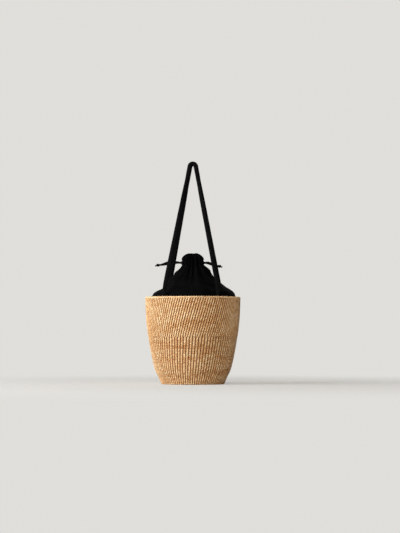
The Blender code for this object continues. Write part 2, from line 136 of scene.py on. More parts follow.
class Value:
    """A socket's value in a shader, with which expressions add their Math nodes."""

    def __init__(self, shader: "Shader", socket: bpy.types.NodeSocket) -> None:
        """Wraps a socket of a shader's node."""
        self.shader = shader
        self.socket = socket

    def _maths(self, operation: str, *operands: "Value | float") -> "Value":
        """Adds a Math node for an operation on some values."""
        return self.shader.node("ShaderNodeMath", {"operation": operation}, dict(enumerate(operands)))

    def __add__(self, other: "Value | float") -> "Value":
        """Adds."""
        return self._maths("ADD", self, other)

    def __sub__(self, other: "Value | float") -> "Value":
        """Subtracts."""
        return self._maths("SUBTRACT", self, other)

    def __rsub__(self, other: float) -> "Value":
        """Subtracts this from a number."""
        return self._maths("SUBTRACT", other, self)

    def __mul__(self, other: "Value | float") -> "Value":
        """Multiplies."""
        return self._maths("MULTIPLY", self, other)

    __radd__ = __add__
    __rmul__ = __mul__

    def sine(self) -> "Value":
        """Gives the sine."""
        return self._maths("SINE", self)

    def size(self) -> "Value":
        """Gives the absolute value."""
        return self._maths("ABSOLUTE", self)

    def held(self) -> "Value":
        """Gives the value held between 0 and 1."""
        return self.shader.node("ShaderNodeClamp", {}, {"Value": self})


class Shader:
    """A material's node tree, built with expressions."""

    def __init__(self, name: str) -> None:
        """Makes a material with one Principled shader."""
        self.material = bpy.data.materials.new(name)
        self.material.use_nodes = True
        self.tree = self.material.node_tree
        self.principled = self.tree.nodes["Principled BSDF"]

    def node(self, kind: str, settings: dict, inputs: dict, output: str | int = 0) -> Value:
        """Adds a node.

        Args:
            kind: the node's type.
            settings: its properties; "stops" gives a ramp's (place, colour) pairs.
            inputs: a value or a link for each named or numbered socket.
            output: the socket that is wanted.

        Returns:
            The wanted socket's value.
        """
        made = self.tree.nodes.new(kind)
        for key, setting in settings.items():
            if key == "stops":
                self._set_stops(made.color_ramp, setting)
            else:
                setattr(made, key, setting)
        for key, value in inputs.items():
            if isinstance(value, Value):
                self.tree.links.new(value.socket, made.inputs[key])
            else:
                made.inputs[key].default_value = value
        return Value(self, made.outputs[output])

    @staticmethod
    def _set_stops(ramp: bpy.types.ColorRamp, stops: tuple) -> None:
        """Sets a ramp's stops, (place, colour) pairs."""
        while len(ramp.elements) < len(stops):
            ramp.elements.new(0.5)
        for element, (place, colour) in zip(ramp.elements, stops):
            element.position = place
            element.color = (*colour, 1)

    def noise(self, vector: Value, scale: float, detail: float = 2) -> Value:
        """Gives noise between 0 and 1 on a vector."""
        return self.node("ShaderNodeTexNoise", {}, {"Vector": vector, "Scale": scale, "Detail": detail})

    def scaled(self, vector: Value, scales: Point) -> Value:
        """Gives a vector times a scale for each axis."""
        return self.node("ShaderNodeMapping", {"vector_type": "POINT"}, {"Vector": vector, "Scale": scales})

    def attribute(self, name: str) -> Value:
        """Gives a mesh attribute's value."""
        return self.node("ShaderNodeAttribute", {"attribute_name": name}, {}, "Fac")

    def cloth_place(self) -> tuple[Value, Value, Value]:
        """Gives the piece's UV map, in metres of cloth, and its two coordinates."""
        place = self.node("ShaderNodeUVMap", {"uv_map": "cloth"}, {})
        across = self.node("ShaderNodeSeparateXYZ", {}, {"Vector": place}, "X")
        along = self.node("ShaderNodeSeparateXYZ", {}, {"Vector": place}, "Y")
        return place, across, along

    def mixed(self, share: Value, low: Value | tuple, high: Value | tuple) -> Value:
        """Gives a colour mixed between two."""
        low, high = [side if isinstance(side, Value) else (*side, 1) for side in (low, high)]
        settings = {"data_type": "RGBA"}
        return self.node("ShaderNodeMix", settings, {"Factor": share, 6: low, 7: high}, 2)

    def bump(self, height: Value, distance: float, strength: float = 1) -> Value:
        """Gives a normal bumped by a height between 0 and 1."""
        return self.node("ShaderNodeBump", {}, {"Height": height, "Distance": distance, "Strength": strength})

    def finish(self, **sockets: "Value | float | tuple") -> bpy.types.Material:
        """Sets the Principled shader's sockets, named with _ for a space, and gives the material."""
        for key, value in sockets.items():
            socket = self.principled.inputs[key.replace("_", " ")]
            if isinstance(value, Value):
                self.tree.links.new(value.socket, socket)
            else:
                socket.default_value = value
        return self.material


@dataclass(frozen=True)
class StrawFinish:
    """Twined sisal: each stitch in its own tone, with fibres along it, and painted shade in the grooves between
    stitches.
    """

    name: str = "twined_sisal"
    dark: Point = (0.42, 0.185, 0.050)
    reddish: Point = (0.62, 0.325, 0.125)
    tan: Point = (0.80, 0.505, 0.240)
    pale: Point = (0.94, 0.715, 0.420)
    # The colour of the painted shade in the grooves between stitches, shown where the crest value is low
    painted_hollow_shade: Point = (0.20, 0.072, 0.014)
    fibre_scales: Point = (160, 2600, 1)
    fibre_depth: float = 0.00026

    def material(self) -> bpy.types.Material:
        """Builds the material.

        Returns:
            A material that reads the stitches' tone and crest attributes and their UV map; a low crest value gets
            painted shade.
        """
        shader = Shader(self.name)
        tone = shader.attribute("tone")
        crest = shader.attribute("crest")
        place, _, _ = shader.cloth_place()
        shift = shader.node("ShaderNodeCombineXYZ", {}, {"X": tone * 7.3, "Y": tone * 3.1, "Z": tone * 11})
        stretched = shader.scaled(place, self.fibre_scales)
        moved = shader.node("ShaderNodeVectorMath", {"operation": "ADD"}, {0: stretched, 1: shift})
        fibres = shader.noise(moved, 1, 3)
        stops = ((0, self.dark), (0.3, self.reddish), (0.62, self.tan), (1, self.pale))
        toned = (tone + (fibres - 0.5) * 1.1).held()
        colour = shader.node("ShaderNodeValToRGB", {"stops": stops}, {"Fac": toned})
        # Painted shade: the colour turns towards the groove colour as the crest value falls, at stitch ends, stitch
        # sides and on the backing
        shown = shader.mixed(crest.held(), self.painted_hollow_shade, colour)
        rough = 0.50 + fibres * 0.30
        normal = shader.bump(fibres, self.fibre_depth)
        return shader.finish(Base_Color=shown, Roughness=rough, Normal=normal)


@dataclass(frozen=True)
class ClothFinish:
    """Plain woven black cotton, with threads both ways and a faint paler bloom in patches."""

    name: str
    ground: Point = (0.0006, 0.0006, 0.0007)
    bloom: Point = (0.0030, 0.0030, 0.0034)
    thread_pitch: float = 0.0006
    thread_depth: float = 0.00006
    wrinkle_depth: float = 0.0004
    roughness: float = 0.78

    def material(self) -> bpy.types.Material:
        """Builds the material.

        Returns:
            A material that reads the cloth's UV map, in metres of cloth.
        """
        shader = Shader(self.name)
        place, across, along = shader.cloth_place()
        turn = math.tau / self.thread_pitch
        weft = (across * turn).sine() * (along * (turn / 2)).sine()
        warp = (along * turn).sine() * (across * (turn / 2)).sine()
        threads = (weft + warp) * 0.25 + 0.5
        slubs = shader.noise(shader.scaled(place, (900, 120, 1)), 1, 2)
        wrinkles = shader.noise(place, 70, 4)
        worn = (shader.noise(place, 24, 3) * 1.5 - 0.35).held()
        colour = shader.mixed((worn * 0.6 + slubs * 0.5).held(), self.ground, self.bloom)
        creased = shader.bump(wrinkles, self.wrinkle_depth)
        settings = {"Height": threads * 0.8 + slubs * 0.2, "Distance": self.thread_depth, "Normal": creased}
        normal = shader.node("ShaderNodeBump", {}, settings)
        rough = self.roughness + (slubs - 0.5) * 0.12
        return shader.finish(Base_Color=colour, Roughness=rough, Normal=normal, Specular_IOR_Level=0.03)


@dataclass(frozen=True)
class StrapFinish:
    """Black cotton tape with fine ribs along it, and the paler thread of its stitches."""

    name: str = "black_strap"
    ground: Point = (0.0015, 0.0015, 0.0018)
    bloom: Point = (0.0058, 0.0058, 0.0066)
    thread: Point = (0.013, 0.013, 0.015)
    rib_pitch: float = 0.0009
    rib_depth: float = 0.00007

    def material(self) -> bpy.types.Material:
        """Builds the material.

        Returns:
            A material that reads the strap's UV map, and the tone attribute that only stitches have.
        """
        shader = Shader(self.name)
        place, across, along = shader.cloth_place()
        slant = math.tau / self.rib_pitch
        ribs = (across * slant + along * (slant * 0.8)).sine() * 0.5 + 0.5
        fuzz = shader.noise(shader.scaled(place, (1500, 500, 1)), 1, 2)
        worn = (shader.noise(place, 30, 3) * 1.6 - 0.4).held()
        cloth = shader.mixed((worn * 0.7 + fuzz * 0.4).held(), self.ground, self.bloom)
        colour = shader.mixed(shader.attribute("tone"), cloth, self.thread)
        creased = shader.bump(shader.noise(place, 150, 4), 0.0003)
        settings = {"Height": ribs * 0.7 + fuzz * 0.3, "Distance": self.rib_depth, "Normal": creased}
        normal = shader.node("ShaderNodeBump", {}, settings)
        rough = 0.80 + fuzz * 0.14
        return shader.finish(Base_Color=colour, Roughness=rough, Normal=normal, Specular_IOR_Level=0.04)


@dataclass(frozen=True)
class CordFinish:
    """Soft black cotton cord: fine yarns along each strand of the braid, with a little fuzz."""

    name: str = "black_braid"
    ground: Point = (0.0017, 0.0017, 0.0020)
    bloom: Point = (0.0062, 0.0062, 0.0070)
    yarn_pitch: float = 0.0007
    yarn_depth: float = 0.00008

    def material(self) -> bpy.types.Material:
        """Builds the material.

        Returns:
            A material that reads the cord's UV map, in metres round and along it.
        """
        shader = Shader(self.name)
        place, across, along = shader.cloth_place()
        turn = math.tau / self.yarn_pitch
        yarns = (across * turn + along * (turn * 0.9)).sine() * (across * turn - along * (turn * 0.9)).sine()
        fuzz = shader.noise(place, 2600, 3)
        colour = shader.mixed((fuzz * 0.9 + yarns * 0.2).held(), self.ground, self.bloom)
        height = yarns * 0.35 + fuzz * 0.4 + 0.3
        normal = shader.bump(height, self.yarn_depth)
        rough = 0.82 + fuzz * 0.12
        return shader.finish(Base_Color=colour, Roughness=rough, Normal=normal, Specular_IOR_Level=0.04)


@dataclass(frozen=True)
class StageFinish:
    """A pale paper-like surface, evenly pale in the distance and shaded near the basket."""

    name: str = "pale_paper"
    colour: Point = (0.80, 0.812, 0.805)
    shown: Point = (0.745, 0.735, 0.705)
    near: float = 0.30
    far: float = 1.15
    least: float = 0.50

    def material(self) -> bpy.types.Material:
        """Builds the material.

        Returns:
            A diffuse surface near the origin that turns to an even backdrop further off.
        """
        shader = Shader(self.name)
        place = shader.node("ShaderNodeTexCoord", {}, {}, "Object")
        grain = shader.noise(place, 900, 2)
        tint = shader.mixed(grain, self.colour, tuple(c * 0.985 for c in self.colour))
        shader.finish(Base_Color=tint, Roughness=0.95, Specular_IOR_Level=0.1)
        away = shader.node("ShaderNodeVectorMath", {"operation": "LENGTH"}, {0: place}, "Value")
        settings = {"interpolation_type": "SMOOTHSTEP"}
        limits = {"Value": away, "From Min": self.near, "From Max": self.far, "To Min": self.least}
        distance = shader.node("ShaderNodeMapRange", settings, limits)
        camera = shader.node("ShaderNodeLightPath", {}, {}, "Is Camera Ray")
        glossy = shader.node("ShaderNodeLightPath", {}, {}, "Is Glossy Ray")
        passed = shader.node("ShaderNodeLightPath", {}, {}, "Is Transmission Ray")
        seen = (camera + glossy + passed).held()
        even = shader.node("ShaderNodeEmission", {}, {"Color": (*self.shown, 1)})
        surface = Value(shader, shader.principled.outputs[0])
        mix = shader.node("ShaderNodeMixShader", {}, {0: distance * seen, 1: surface, 2: even})
        output = shader.tree.nodes["Material Output"]
        shader.tree.links.new(mix.socket, output.inputs["Surface"])
        return shader.material


def place_piece(name: str, bm: bmesh.types.BMesh, material: bpy.types.Material) -> bpy.types.Object:
    """Makes an object at the origin from a mesh that is in place."""
    mesh = bpy.data.meshes.new(name)
    bm.to_mesh(mesh)
    bm.free()
    mesh.materials.append(material)
    made = bpy.data.objects.new(name, mesh)
    bpy.context.scene.collection.objects.link(made)
    return made


def join(target: bmesh.types.BMesh, added: bmesh.types.BMesh) -> None:
    """Adds a mesh to another as a part of its own, and frees it."""
    mesh = bpy.data.meshes.new("added")
    added.to_mesh(mesh)
    added.free()
    target.from_mesh(mesh)
    bpy.data.meshes.remove(mesh)


def unit_stitch(
    bend: float = 0, end_shade: float = 0, side_shade: float = 0, fullness: float = 0.85,
) -> bpy.types.Mesh:
    """Makes the stitch that the weave repeats: a rounded strand along X with its crest at +Z.

    Args:
        bend: how far its ends dive inwards, in half depths.
        end_shade: how much painted shade its ends get, as if they lay in the groove beside a rib, from 0 to 1.
        side_shade: how much painted shade its sides get.
        fullness: how pointed its ends are, 1 for an egg's.

    Returns:
        A mesh with a UV map along and round it, and attributes for its tone and crest, the crest saying how little
        painted shade each point gets.
    """
    bm = bmesh.new()
    lying = Matrix.Rotation(math.pi / 2, 4, "Y")
    bmesh.ops.create_uvsphere(bm, u_segments=6, v_segments=5, radius=1, matrix=lying)
    crest = bm.verts.layers.float.new("crest")
    bm.verts.layers.float.new("tone")
    uv = bm.loops.layers.uv.new("cloth")
    for face in bm.faces:
        face.smooth = True
        middle = face.calc_center_median()
        facing = math.atan2(middle.y, middle.z)
        for loop in face.loops:
            place = loop.vert.co
            is_tip = math.hypot(place.y, place.z) < 0.01
            turned = 0 if is_tip else angle_between(math.atan2(place.y, place.z), facing)
            loop[uv].uv = (place.x * 3 * MM, (facing + turned) * MM)
    # Painted shade: the crest value falls towards the ends and the lower sides, where the straw material darkens the
    # stitch
    for vertex in bm.verts:
        low_side = (1 - vertex.co.z) / 2
        vertex.co.x = math.copysign(abs(vertex.co.x) ** fullness, vertex.co.x)
        far = vertex.co.x ** 2
        vertex[crest] = max(1 - end_shade * far - side_shade * low_side * (1 - 0.4 * far), 0)
        vertex.co.z -= bend * far
    mesh = bpy.data.meshes.new("unit_stitch")
    bm.to_mesh(mesh)
    bm.free()
    return mesh


@dataclass
class Outline:
    """The basket's outer line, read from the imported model."""

    nodes: tuple[str, ...] = ("basket_base", "basket_wall_lower", "basket_wall_upper", "basket_rim")
    foot_share: float = 0.6
    pairs: list = field(default_factory=list)
    lengths: list = field(default_factory=list)
    steps: int = 400

    def __post_init__(self) -> None:
        """Reads the outermost radius at each ring of the nodes' outward faces."""
        rings: dict[int, float] = {}
        for name in self.nodes:
            mesh = frame["nodes"][name].data
            for face in mesh.polygons:
                outward = Vector((face.center.x, face.center.y, 0)).normalized()
                if face.normal.dot(outward) < 0.5:
                    continue
                for number in face.vertices:
                    x, y, z = mesh.vertices[number].co
                    height = round(z / MM)
                    rings[height] = max(rings.get(height, 0), math.hypot(x, y))
        self.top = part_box("basket_rim")[1].z
        kept = [(height * MM, radius) for height, radius in sorted(rings.items())]
        self.pairs = [(0, between(kept[0][1], kept[1][1], self.foot_share))]
        for height, radius in kept[1:]:
            if height - self.pairs[-1][0] > 3.5 * MM and height < self.top - 8 * MM:
                self.pairs.append((height, radius))
        self.pairs.append((self.top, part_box("basket_wall_upper")[1].x))
        log.info("outline: %s", [(round(z / MM, 1), round(r / MM, 1)) for z, r in self.pairs])
        self.lengths = [0.0]
        for index in range(self.steps):
            near, far = [self.top * (index + step) / self.steps for step in (0, 1)]
            self.lengths.append(self.lengths[-1] + math.hypot(far - near, self.radius(far) - self.radius(near)))

    def radius(self, height: float) -> float:
        """Gives the radius of the ribs' crests at a height."""
        return through_pairs(tuple(self.pairs), height)

    def normal(self, height: float) -> tuple[float, float]:
        """Gives the outline's outward direction at a height, as its parts out and up."""
        step = 2 * MM
        run = self.radius(height + step) - self.radius(height - step)
        size = math.hypot(run, 2 * step)
        return 2 * step / size, -run / size

    def heights(self, low: float, high: float, pitch: float) -> list[float]:
        """Gives the heights of evenly spaced rows, measured up the sloping wall.

        Args:
            low: where the first row's lower edge lies.
            high: where the last row's upper edge lies.
            pitch: about how far apart the rows lie.

        Returns:
            The rows' middle heights.
        """
        start, end = [self.lengths[round(height / self.top * self.steps)] for height in (low, high)]
        count = max(1, round((end - start) / pitch))
        found = []
        for row in range(count):
            wanted = between(start, end, (row + 0.5) / count)
            index = next(i for i, length in enumerate(self.lengths) if length >= wanted)
            found.append(self.top * index / self.steps)
        return found


@dataclass
class Stitching:
    """Rows of stitches that are stamped into one mesh."""

    name: str
    seed: int
    unit: bpy.types.Mesh
    bm: bmesh.types.BMesh = field(default_factory=bmesh.new)

    def __post_init__(self) -> None:
        """Seeds the small differences between stitches."""
        self.random = random.Random(self.seed)
        self.count = 0

    def stamp(
        self, centre: Vector, axes: tuple[Vector, Vector, Vector], size: Point, tone: float, looseness: float = 1,
    ) -> None:
        """Adds one stitch.

        Args:
            centre: its middle.
            axes: its directions along, across and out.
            size: its half length, half width and half depth.
            tone: how pale it is, from 0 to 1.
            looseness: how much it differs from the others.
        """
        along, across, out = axes
        turn = Matrix.Rotation(math.radians(5 * looseness * self.random.uniform(-1, 1)), 3, out)
        along, across = turn @ along, turn @ across
        half = [extent * (1 + 0.07 * looseness * self.random.uniform(-1, 1)) for extent in size]
        columns = (along * half[0], across * half[1], out * half[2])
        place = Matrix(columns).transposed().to_4x4()
        shifts = [0.12 * MM * looseness * self.random.uniform(-1, 1) for _ in range(2)]
        place.translation = centre + out * shifts[0] + across * shifts[1]
        values = [min(max(tone, 0), 1)] * len(self.unit.vertices)
        self.unit.attributes["tone"].data.foreach_set("value", values)
        self.unit.transform(place)
        self.bm.from_mesh(self.unit)
        self.unit.transform(place.inverted())
        self.count += 1

    def tone(self, angle: float, row: float, rib: float = 0) -> float:
        """Gives a stitch's tone, which runs along the row, as a strand of straw does, and down its rib."""
        run = noise.noise(Vector((math.cos(angle) * 2.2, math.sin(angle) * 2.2, row * 1.37 + self.seed)))
        patch = noise.noise(Vector((math.cos(angle) * 1.1, math.sin(angle) * 1.1, row * 0.11 + self.seed)))
        streak = noise.noise(Vector((rib * 1.71, row * 0.42, self.seed * 3.3)))
        return 0.66 + run * 0.26 + patch * 0.24 + streak * 0.44 + self.random.gauss(0, 0.10)

    def backing(self, profile: list[Point], steps: int = 138) -> None:
        """Adds the closed ring or disc behind the stitches, turned from points of radius, height and crest; a low
        crest gives it painted shade.
        """
        bm = bmesh.new()
        crest = bm.verts.layers.float.new("crest")
        tone = bm.verts.layers.float.new("tone")
        points = []
        for radius, height, shade in profile:
            point = bm.verts.new((radius, 0, height))
            # Painted shade: the crest value sets how dark the straw material paints the backing
            point[crest], point[tone] = shade, 0.4
            points.append(point)
        edges = [bm.edges.new(pair) for pair in zip(points, points[1:])]
        if profile[0][0] > WELD:
            edges.append(bm.edges.new((points[-1], points[0])))
        settings = {"cent": (0, 0, 0), "axis": UP, "angle": math.tau, "steps": steps, "use_merge": True}
        bmesh.ops.spin(bm, geom=points + edges, **settings)
        bmesh.ops.remove_doubles(bm, verts=bm.verts, dist=WELD)
        bmesh.ops.recalc_face_normals(bm, faces=bm.faces)
        join(self.bm, bm)

    def piece(self, material: bpy.types.Material) -> bpy.types.Object:
        """Gives the finished piece as an object at the origin."""
        return place_piece(self.name, self.bm, material)


@dataclass
class WovenBasket:
    """The twined straw basket: base, two zones of wall and the bound rim."""

    stake_count: int = 92
    twill_count: int = 117
    row_pitch: float = 3.05 * MM
    lean: float = math.radians(5)
    twill_lean: float = math.radians(16)
    stitch_slant: float = math.radians(26)
    twill_slant: float = math.radians(50)
    twill_row: float = 3.1 * MM
    wall: float = 5.5 * MM
    base_rings: tuple = ((4, 12, 10), (12, 24, 23), (24, 42, 46), (42, 76, 92))
    inner_rows: int = 6
    wrap_count: int = 234
    wrap_width: float = 3.9 * MM
    wrap_depth: float = 0.95 * MM
    wrap_lean: float = math.radians(-22)
    wrap_foot: float = math.radians(2)
    wrap_swing: float = math.radians(222)
    wrap_sides: int = 8
    wrap_steps: int = 7

    def __post_init__(self) -> None:
        """Reads the places that the frame gives."""
        self.outline = Outline()
        self.straw = StrawFinish().material()
        self.unit = unit_stitch(0.62, 0.98, 0.56)
        self.twill_unit = unit_stitch(0.58, 0.90, 0.46, 0.92)
        self.top = self.outline.top
        self.change = (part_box("basket_wall_lower")[1].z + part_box("basket_wall_upper")[0].z) / 2
        self.rim_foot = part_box("basket_rim")[0].z
        self.base_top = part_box("basket_base")[1].z

    def build(self) -> list[tuple[bpy.types.Object, tuple[str, ...]]]:
        """Builds every woven piece.

        Returns:
            Each piece with the names of the nodes that it stands for.
        """
        return [
            (self.base(), ("basket_base",)),
            (self.lower_wall(), ("basket_wall_lower",)),
            (self.upper_wall(), ("basket_wall_upper",)),
            (self.rim(), ("basket_rim",)),
        ]

    def _axes(self, angle: float, height: float, slant: float, side: int = 1) -> tuple[Vector, Vector, Vector]:
        """Gives a wall stitch's directions along, across and out."""
        out_part, up_part = self.outline.normal(height)
        radial = Vector((math.cos(angle), math.sin(angle), 0))
        out = (radial * out_part + UP * up_part) * side
        tangent = UP.cross(radial) * side
        rise = out.cross(tangent)
        along = tangent * math.cos(slant) + rise * math.sin(slant)
        return along, out.cross(along), out

    def _row(self, work: Stitching, height: float, count: int, size: Point, slant: float) -> None:
        """Adds one row of the wall's stitches."""
        for stitch in range(count):
            self._stitch(work, height, math.tau * stitch / count, size, slant, stitch)

    def _stitch(self, work: Stitching, height: float, start: float, size: Point, slant: float, rib: int) -> None:
        """Adds one of the wall's stitches to a rib that starts at an angle."""
        angle = start + self.turn(height)
        axes = self._axes(angle, height, slant)
        centre = round_point(self.outline.radius(height), angle, height) - axes[2] * size[2] * 0.9
        work.stamp(centre, axes, size, work.tone(angle, height / self.row_pitch, rib))

    def _shell(self, low: float, high: float) -> list[Point]:
        """Gives the closed section of the wall behind its stitches, with a low ridge behind each row, the ridges
        getting less painted shade.
        """
        count = 2 * round((high - low) / self.row_pitch) + 1
        heights = [between(low, high, step / (count - 1)) for step in range(count)]
        outside = []
        for step, height in enumerate(heights):
            ridge = step % 2
            # The third value is the crest value: the ridges get a little less painted shade than the rest of the
            # backing
            outside.append((self.outline.radius(height) - (2.5 - 0.7 * ridge) * MM, height, 0.24 * ridge))
        inside = [(self.outline.radius(height) - self.wall - 0.4 * MM, height, 0.2) for height in heights[::-6]]
        return outside + inside

    def turn(self, height: float) -> float:
        """Gives how far round a rib has leaned at a height."""
        if height <= self.change:
            return math.tan(self.lean) * (height - self.base_top) / self.outline.radius(self.top)
        return math.tan(self.twill_lean) * (height - self.change) / self.outline.radius(self.top)

    def lower_wall(self) -> bpy.types.Object:
        """Builds the plain twined zone, whose stitches stack into upright ribs."""
        work = Stitching("woven_lower_wall", 1, self.unit)
        heights = self.outline.heights(self.base_top - 1.2 * MM, self.change - 0.2 * MM, self.row_pitch)
        for height in heights:
            pitch = math.tau * self.outline.radius(height) / self.stake_count
            wide = 0.42 if height == heights[-1] else 0.475
            size = (pitch * wide, self.row_pitch * 0.66, 1.6 * MM)
            self._row(work, height, self.stake_count, size, self.stitch_slant)
        work.backing(self._shell(self.base_top + 0.2 * MM, self.change))
        log.info("lower wall: %d stitches", work.count)
        return work.piece(self.straw)

    def upper_wall(self) -> bpy.types.Object:
        """Builds the finer zone, whose steep stitches make leaning, broken ribs."""
        work = Stitching("woven_upper_wall", 2, self.twill_unit)
        self._grains(work, self.change, self.rim_foot)
        work.backing(self._shell(self.change, self.rim_foot))
        log.info("upper wall: %d stitches", work.count)
        return work.piece(self.straw)

    def _grains(self, work: Stitching, low: float, high: float) -> None:
        """Adds the finer zone's stitches whose middles lie between two heights.

        Each rib is a chain of steep, overlapping grains, about half a grain behind the rib before it.
        """
        foot, ceiling = self.change - 0.1 * MM, self.top - 1.6 * MM
        rows = round((ceiling - foot) / self.twill_row)
        step = (ceiling - foot) / rows
        for rib in range(self.twill_count):
            stagger = rib * (self.twill_count // 2) / self.twill_count % 1
            for row in range(-1, rows + 1):
                middle = foot + (row + stagger + work.random.uniform(-0.1, 0.1)) * step
                start, end = max(middle - 1.02 * step, foot), min(middle + 1.02 * step, ceiling)
                height = (start + end) / 2
                if end - start < 0.5 * step or not low <= height < high:
                    continue
                pitch = math.tau * self.outline.radius(height) / self.twill_count
                size = ((end - start) / 2 / math.sin(self.twill_slant), pitch * 0.27, 1.55 * MM)
                self._stitch(work, height, math.tau * rib / self.twill_count, size, self.twill_slant, rib)

    def base(self) -> bpy.types.Object:
        """Builds the round bottom: rings of stitches that double in number as it widens."""
        work = Stitching("woven_base", 3, self.unit)
        depth = 0.95 * MM
        for start, end, count in self.base_rings:
            rings = max(1, round((end - start) * MM / self.row_pitch))
            for ring in range(rings):
                radius = between(start, end, (ring + 0.5) / rings) * MM
                pitch = math.tau * radius / count
                size = (pitch * 0.52, self.row_pitch * 0.60, depth)
                for stitch in range(count):
                    angle = math.tau * (stitch + 0.5 * (ring % 2)) / count
                    radial = Vector((math.cos(angle), math.sin(angle), 0))
                    tangent = UP.cross(radial)
                    along = Matrix.Rotation(-self.stitch_slant, 3, UP) @ tangent
                    out = -UP
                    centre = radial * radius + UP * depth
                    work.stamp(centre, (along, out.cross(along), out), size, work.tone(angle, radius / self.row_pitch) - 0.06)
        core = (4.5 * MM, 4.5 * MM, depth)
        work.stamp(UP * depth, (Vector((1, 0, 0)), Vector((0, -1, 0)), -UP), core, 0.5)
        edge = self.outline.radius(0)
        for height, radius, tilt in ((1.35 * MM, edge - 0.55 * MM, 50), (3.8 * MM, edge + 1.25 * MM, 78)):
            size = (math.tau * radius / self.stake_count * 0.52, self.row_pitch * 0.60, 1.4 * MM)
            self._edge_row(work, height, radius, math.radians(tilt), size)
        # The third values are crest values: 0 gives the backing full painted shade, and 0.2 a little less
        profile = [
            (0, 1.1 * MM, 0), (edge - 3 * MM, 1.1 * MM, 0), (edge - 1.6 * MM, 2.2 * MM, 0),
            (self.outline.radius(self.base_top) - 2.2 * MM, self.base_top, 0), (0, self.base_top, 0.2),
        ]
        work.backing(profile)
        log.info("base: %d stitches", work.count)
        return work.piece(self.straw)

    def _edge_row(self, work: Stitching, height: float, radius: float, tilt: float, size: Point) -> None:
        """Adds one row round the base's corner, in line with the wall's ribs and tilted from facing down."""
        for stitch in range(self.stake_count):
            angle = math.tau * stitch / self.stake_count + self.turn(height)
            radial = Vector((math.cos(angle), math.sin(angle), 0))
            out = radial * math.sin(tilt) - UP * math.cos(tilt)
            tangent = UP.cross(radial)
            rise = out.cross(tangent)
            along = tangent * math.cos(self.stitch_slant) + rise * math.sin(self.stitch_slant)
            centre = radial * radius + UP * height - out * size[2] * 0.5
            work.stamp(centre, (along, out.cross(along), out), size, work.tone(angle, height / self.row_pitch, stitch))

    def rim(self) -> bpy.types.Object:
        """Builds the edge: stakes turned in under whipped wraps, with rows inside below it."""
        work = Stitching("bound_rim", 4, self.unit)
        middle = self.outline.radius(self.top) - self.wall / 2 - 0.5 * MM
        low = self.rim_foot - 14 * MM
        for row in range(self.inner_rows):
            height = between(low, self.rim_foot, (row + 0.5) / self.inner_rows)
            inner = self.outline.radius(height) - self.wall - 0.2 * MM
            pitch = math.tau * inner / self.twill_count
            size = (pitch * 0.49, self.row_pitch * 0.5, 1.0 * MM)
            for stitch in range(self.twill_count):
                angle = math.tau * stitch / self.twill_count + self.turn(height)
                axes = self._axes(angle, height, self.stitch_slant, -1)
                centre = Vector((math.cos(angle), math.sin(angle), 0)) * inner + UP * height - axes[2] * 0.4 * MM
                work.stamp(centre, axes, size, work.tone(angle, row) - 0.1)
        work.unit = self.twill_unit
        self._grains(work, self.rim_foot, self.top)
        self._wraps(work, middle)
        work.backing(self._shell(self.rim_foot, self.top - 2.6 * MM))
        log.info("rim: %d stitches and wraps", work.count)
        return work.piece(self.straw)

    def _wraps(self, work: Stitching, middle: float) -> None:
        """Adds the wraps over the edge, each a short strand bent over it from outside to inside."""
        wrap = bmesh.new()
        bend = self.wall / 2 - 0.1 * MM
        strand = Matrix.Diagonal((self.wrap_width / 2, self.wrap_depth, 1, 1))
        ring = bmesh.ops.create_circle(wrap, segments=self.wrap_sides, radius=1, matrix=strand)["verts"]
        bmesh.ops.translate(wrap, verts=ring, vec=(0, bend, 0))
        bmesh.ops.rotate(wrap, verts=ring, cent=(0, 0, 0), matrix=Matrix.Rotation(-self.wrap_foot, 3, "X"))
        edges = list(wrap.edges)
        settings = {"cent": (0, 0, 0), "axis": (1, 0, 0), "angle": self.wrap_swing, "steps": self.wrap_steps}
        bmesh.ops.spin(wrap, geom=ring + edges, **settings)
        open_ends = [edge for edge in wrap.edges if edge.is_boundary]
        bmesh.ops.holes_fill(wrap, edges=open_ends)
        bmesh.ops.recalc_face_normals(wrap, faces=wrap.faces)
        crest = wrap.verts.layers.float.new("crest")
        tone = wrap.verts.layers.float.new("tone")
        uv = wrap.loops.layers.uv.new("cloth")
        for vertex in wrap.verts:
            # Painted shade: each wrap is darker on its inner side, where it lies against the edge it binds
            proud = (math.hypot(vertex.co.y, vertex.co.z) - bend) / self.wrap_depth
            vertex[crest] = 0.62 + 0.38 * min(max(proud, -1), 1)
        for face in wrap.faces:
            face.smooth = True
            for loop in face.loops:
                place = loop.vert.co
                loop[uv].uv = (math.atan2(place.z, place.y) * bend, place.x)
        unit = bpy.data.meshes.new("wrap")
        lean = Matrix.Rotation(self.wrap_lean, 4, "Y")
        for number in range(self.wrap_count):
            angle = math.tau * number / self.wrap_count
            shade = work.tone(angle, 99, number // 2) + 0.12
            for vertex in wrap.verts:
                vertex[tone] = min(max(shade, 0), 1)
            wrap.to_mesh(unit)
            sunk = 0.75 * MM * (number % 2)
            height = self.top - self.wall / 2 - 1.0 * MM - sunk + work.random.uniform(-0.2, 0.2) * MM
            place = Matrix.Rotation(angle - math.pi / 2, 4, "Z") @ Matrix.Translation((0, middle, height)) @ lean
            unit.transform(place)
            work.bm.from_mesh(unit)
            work.count += 1
        bpy.data.meshes.remove(unit)
        wrap.free()


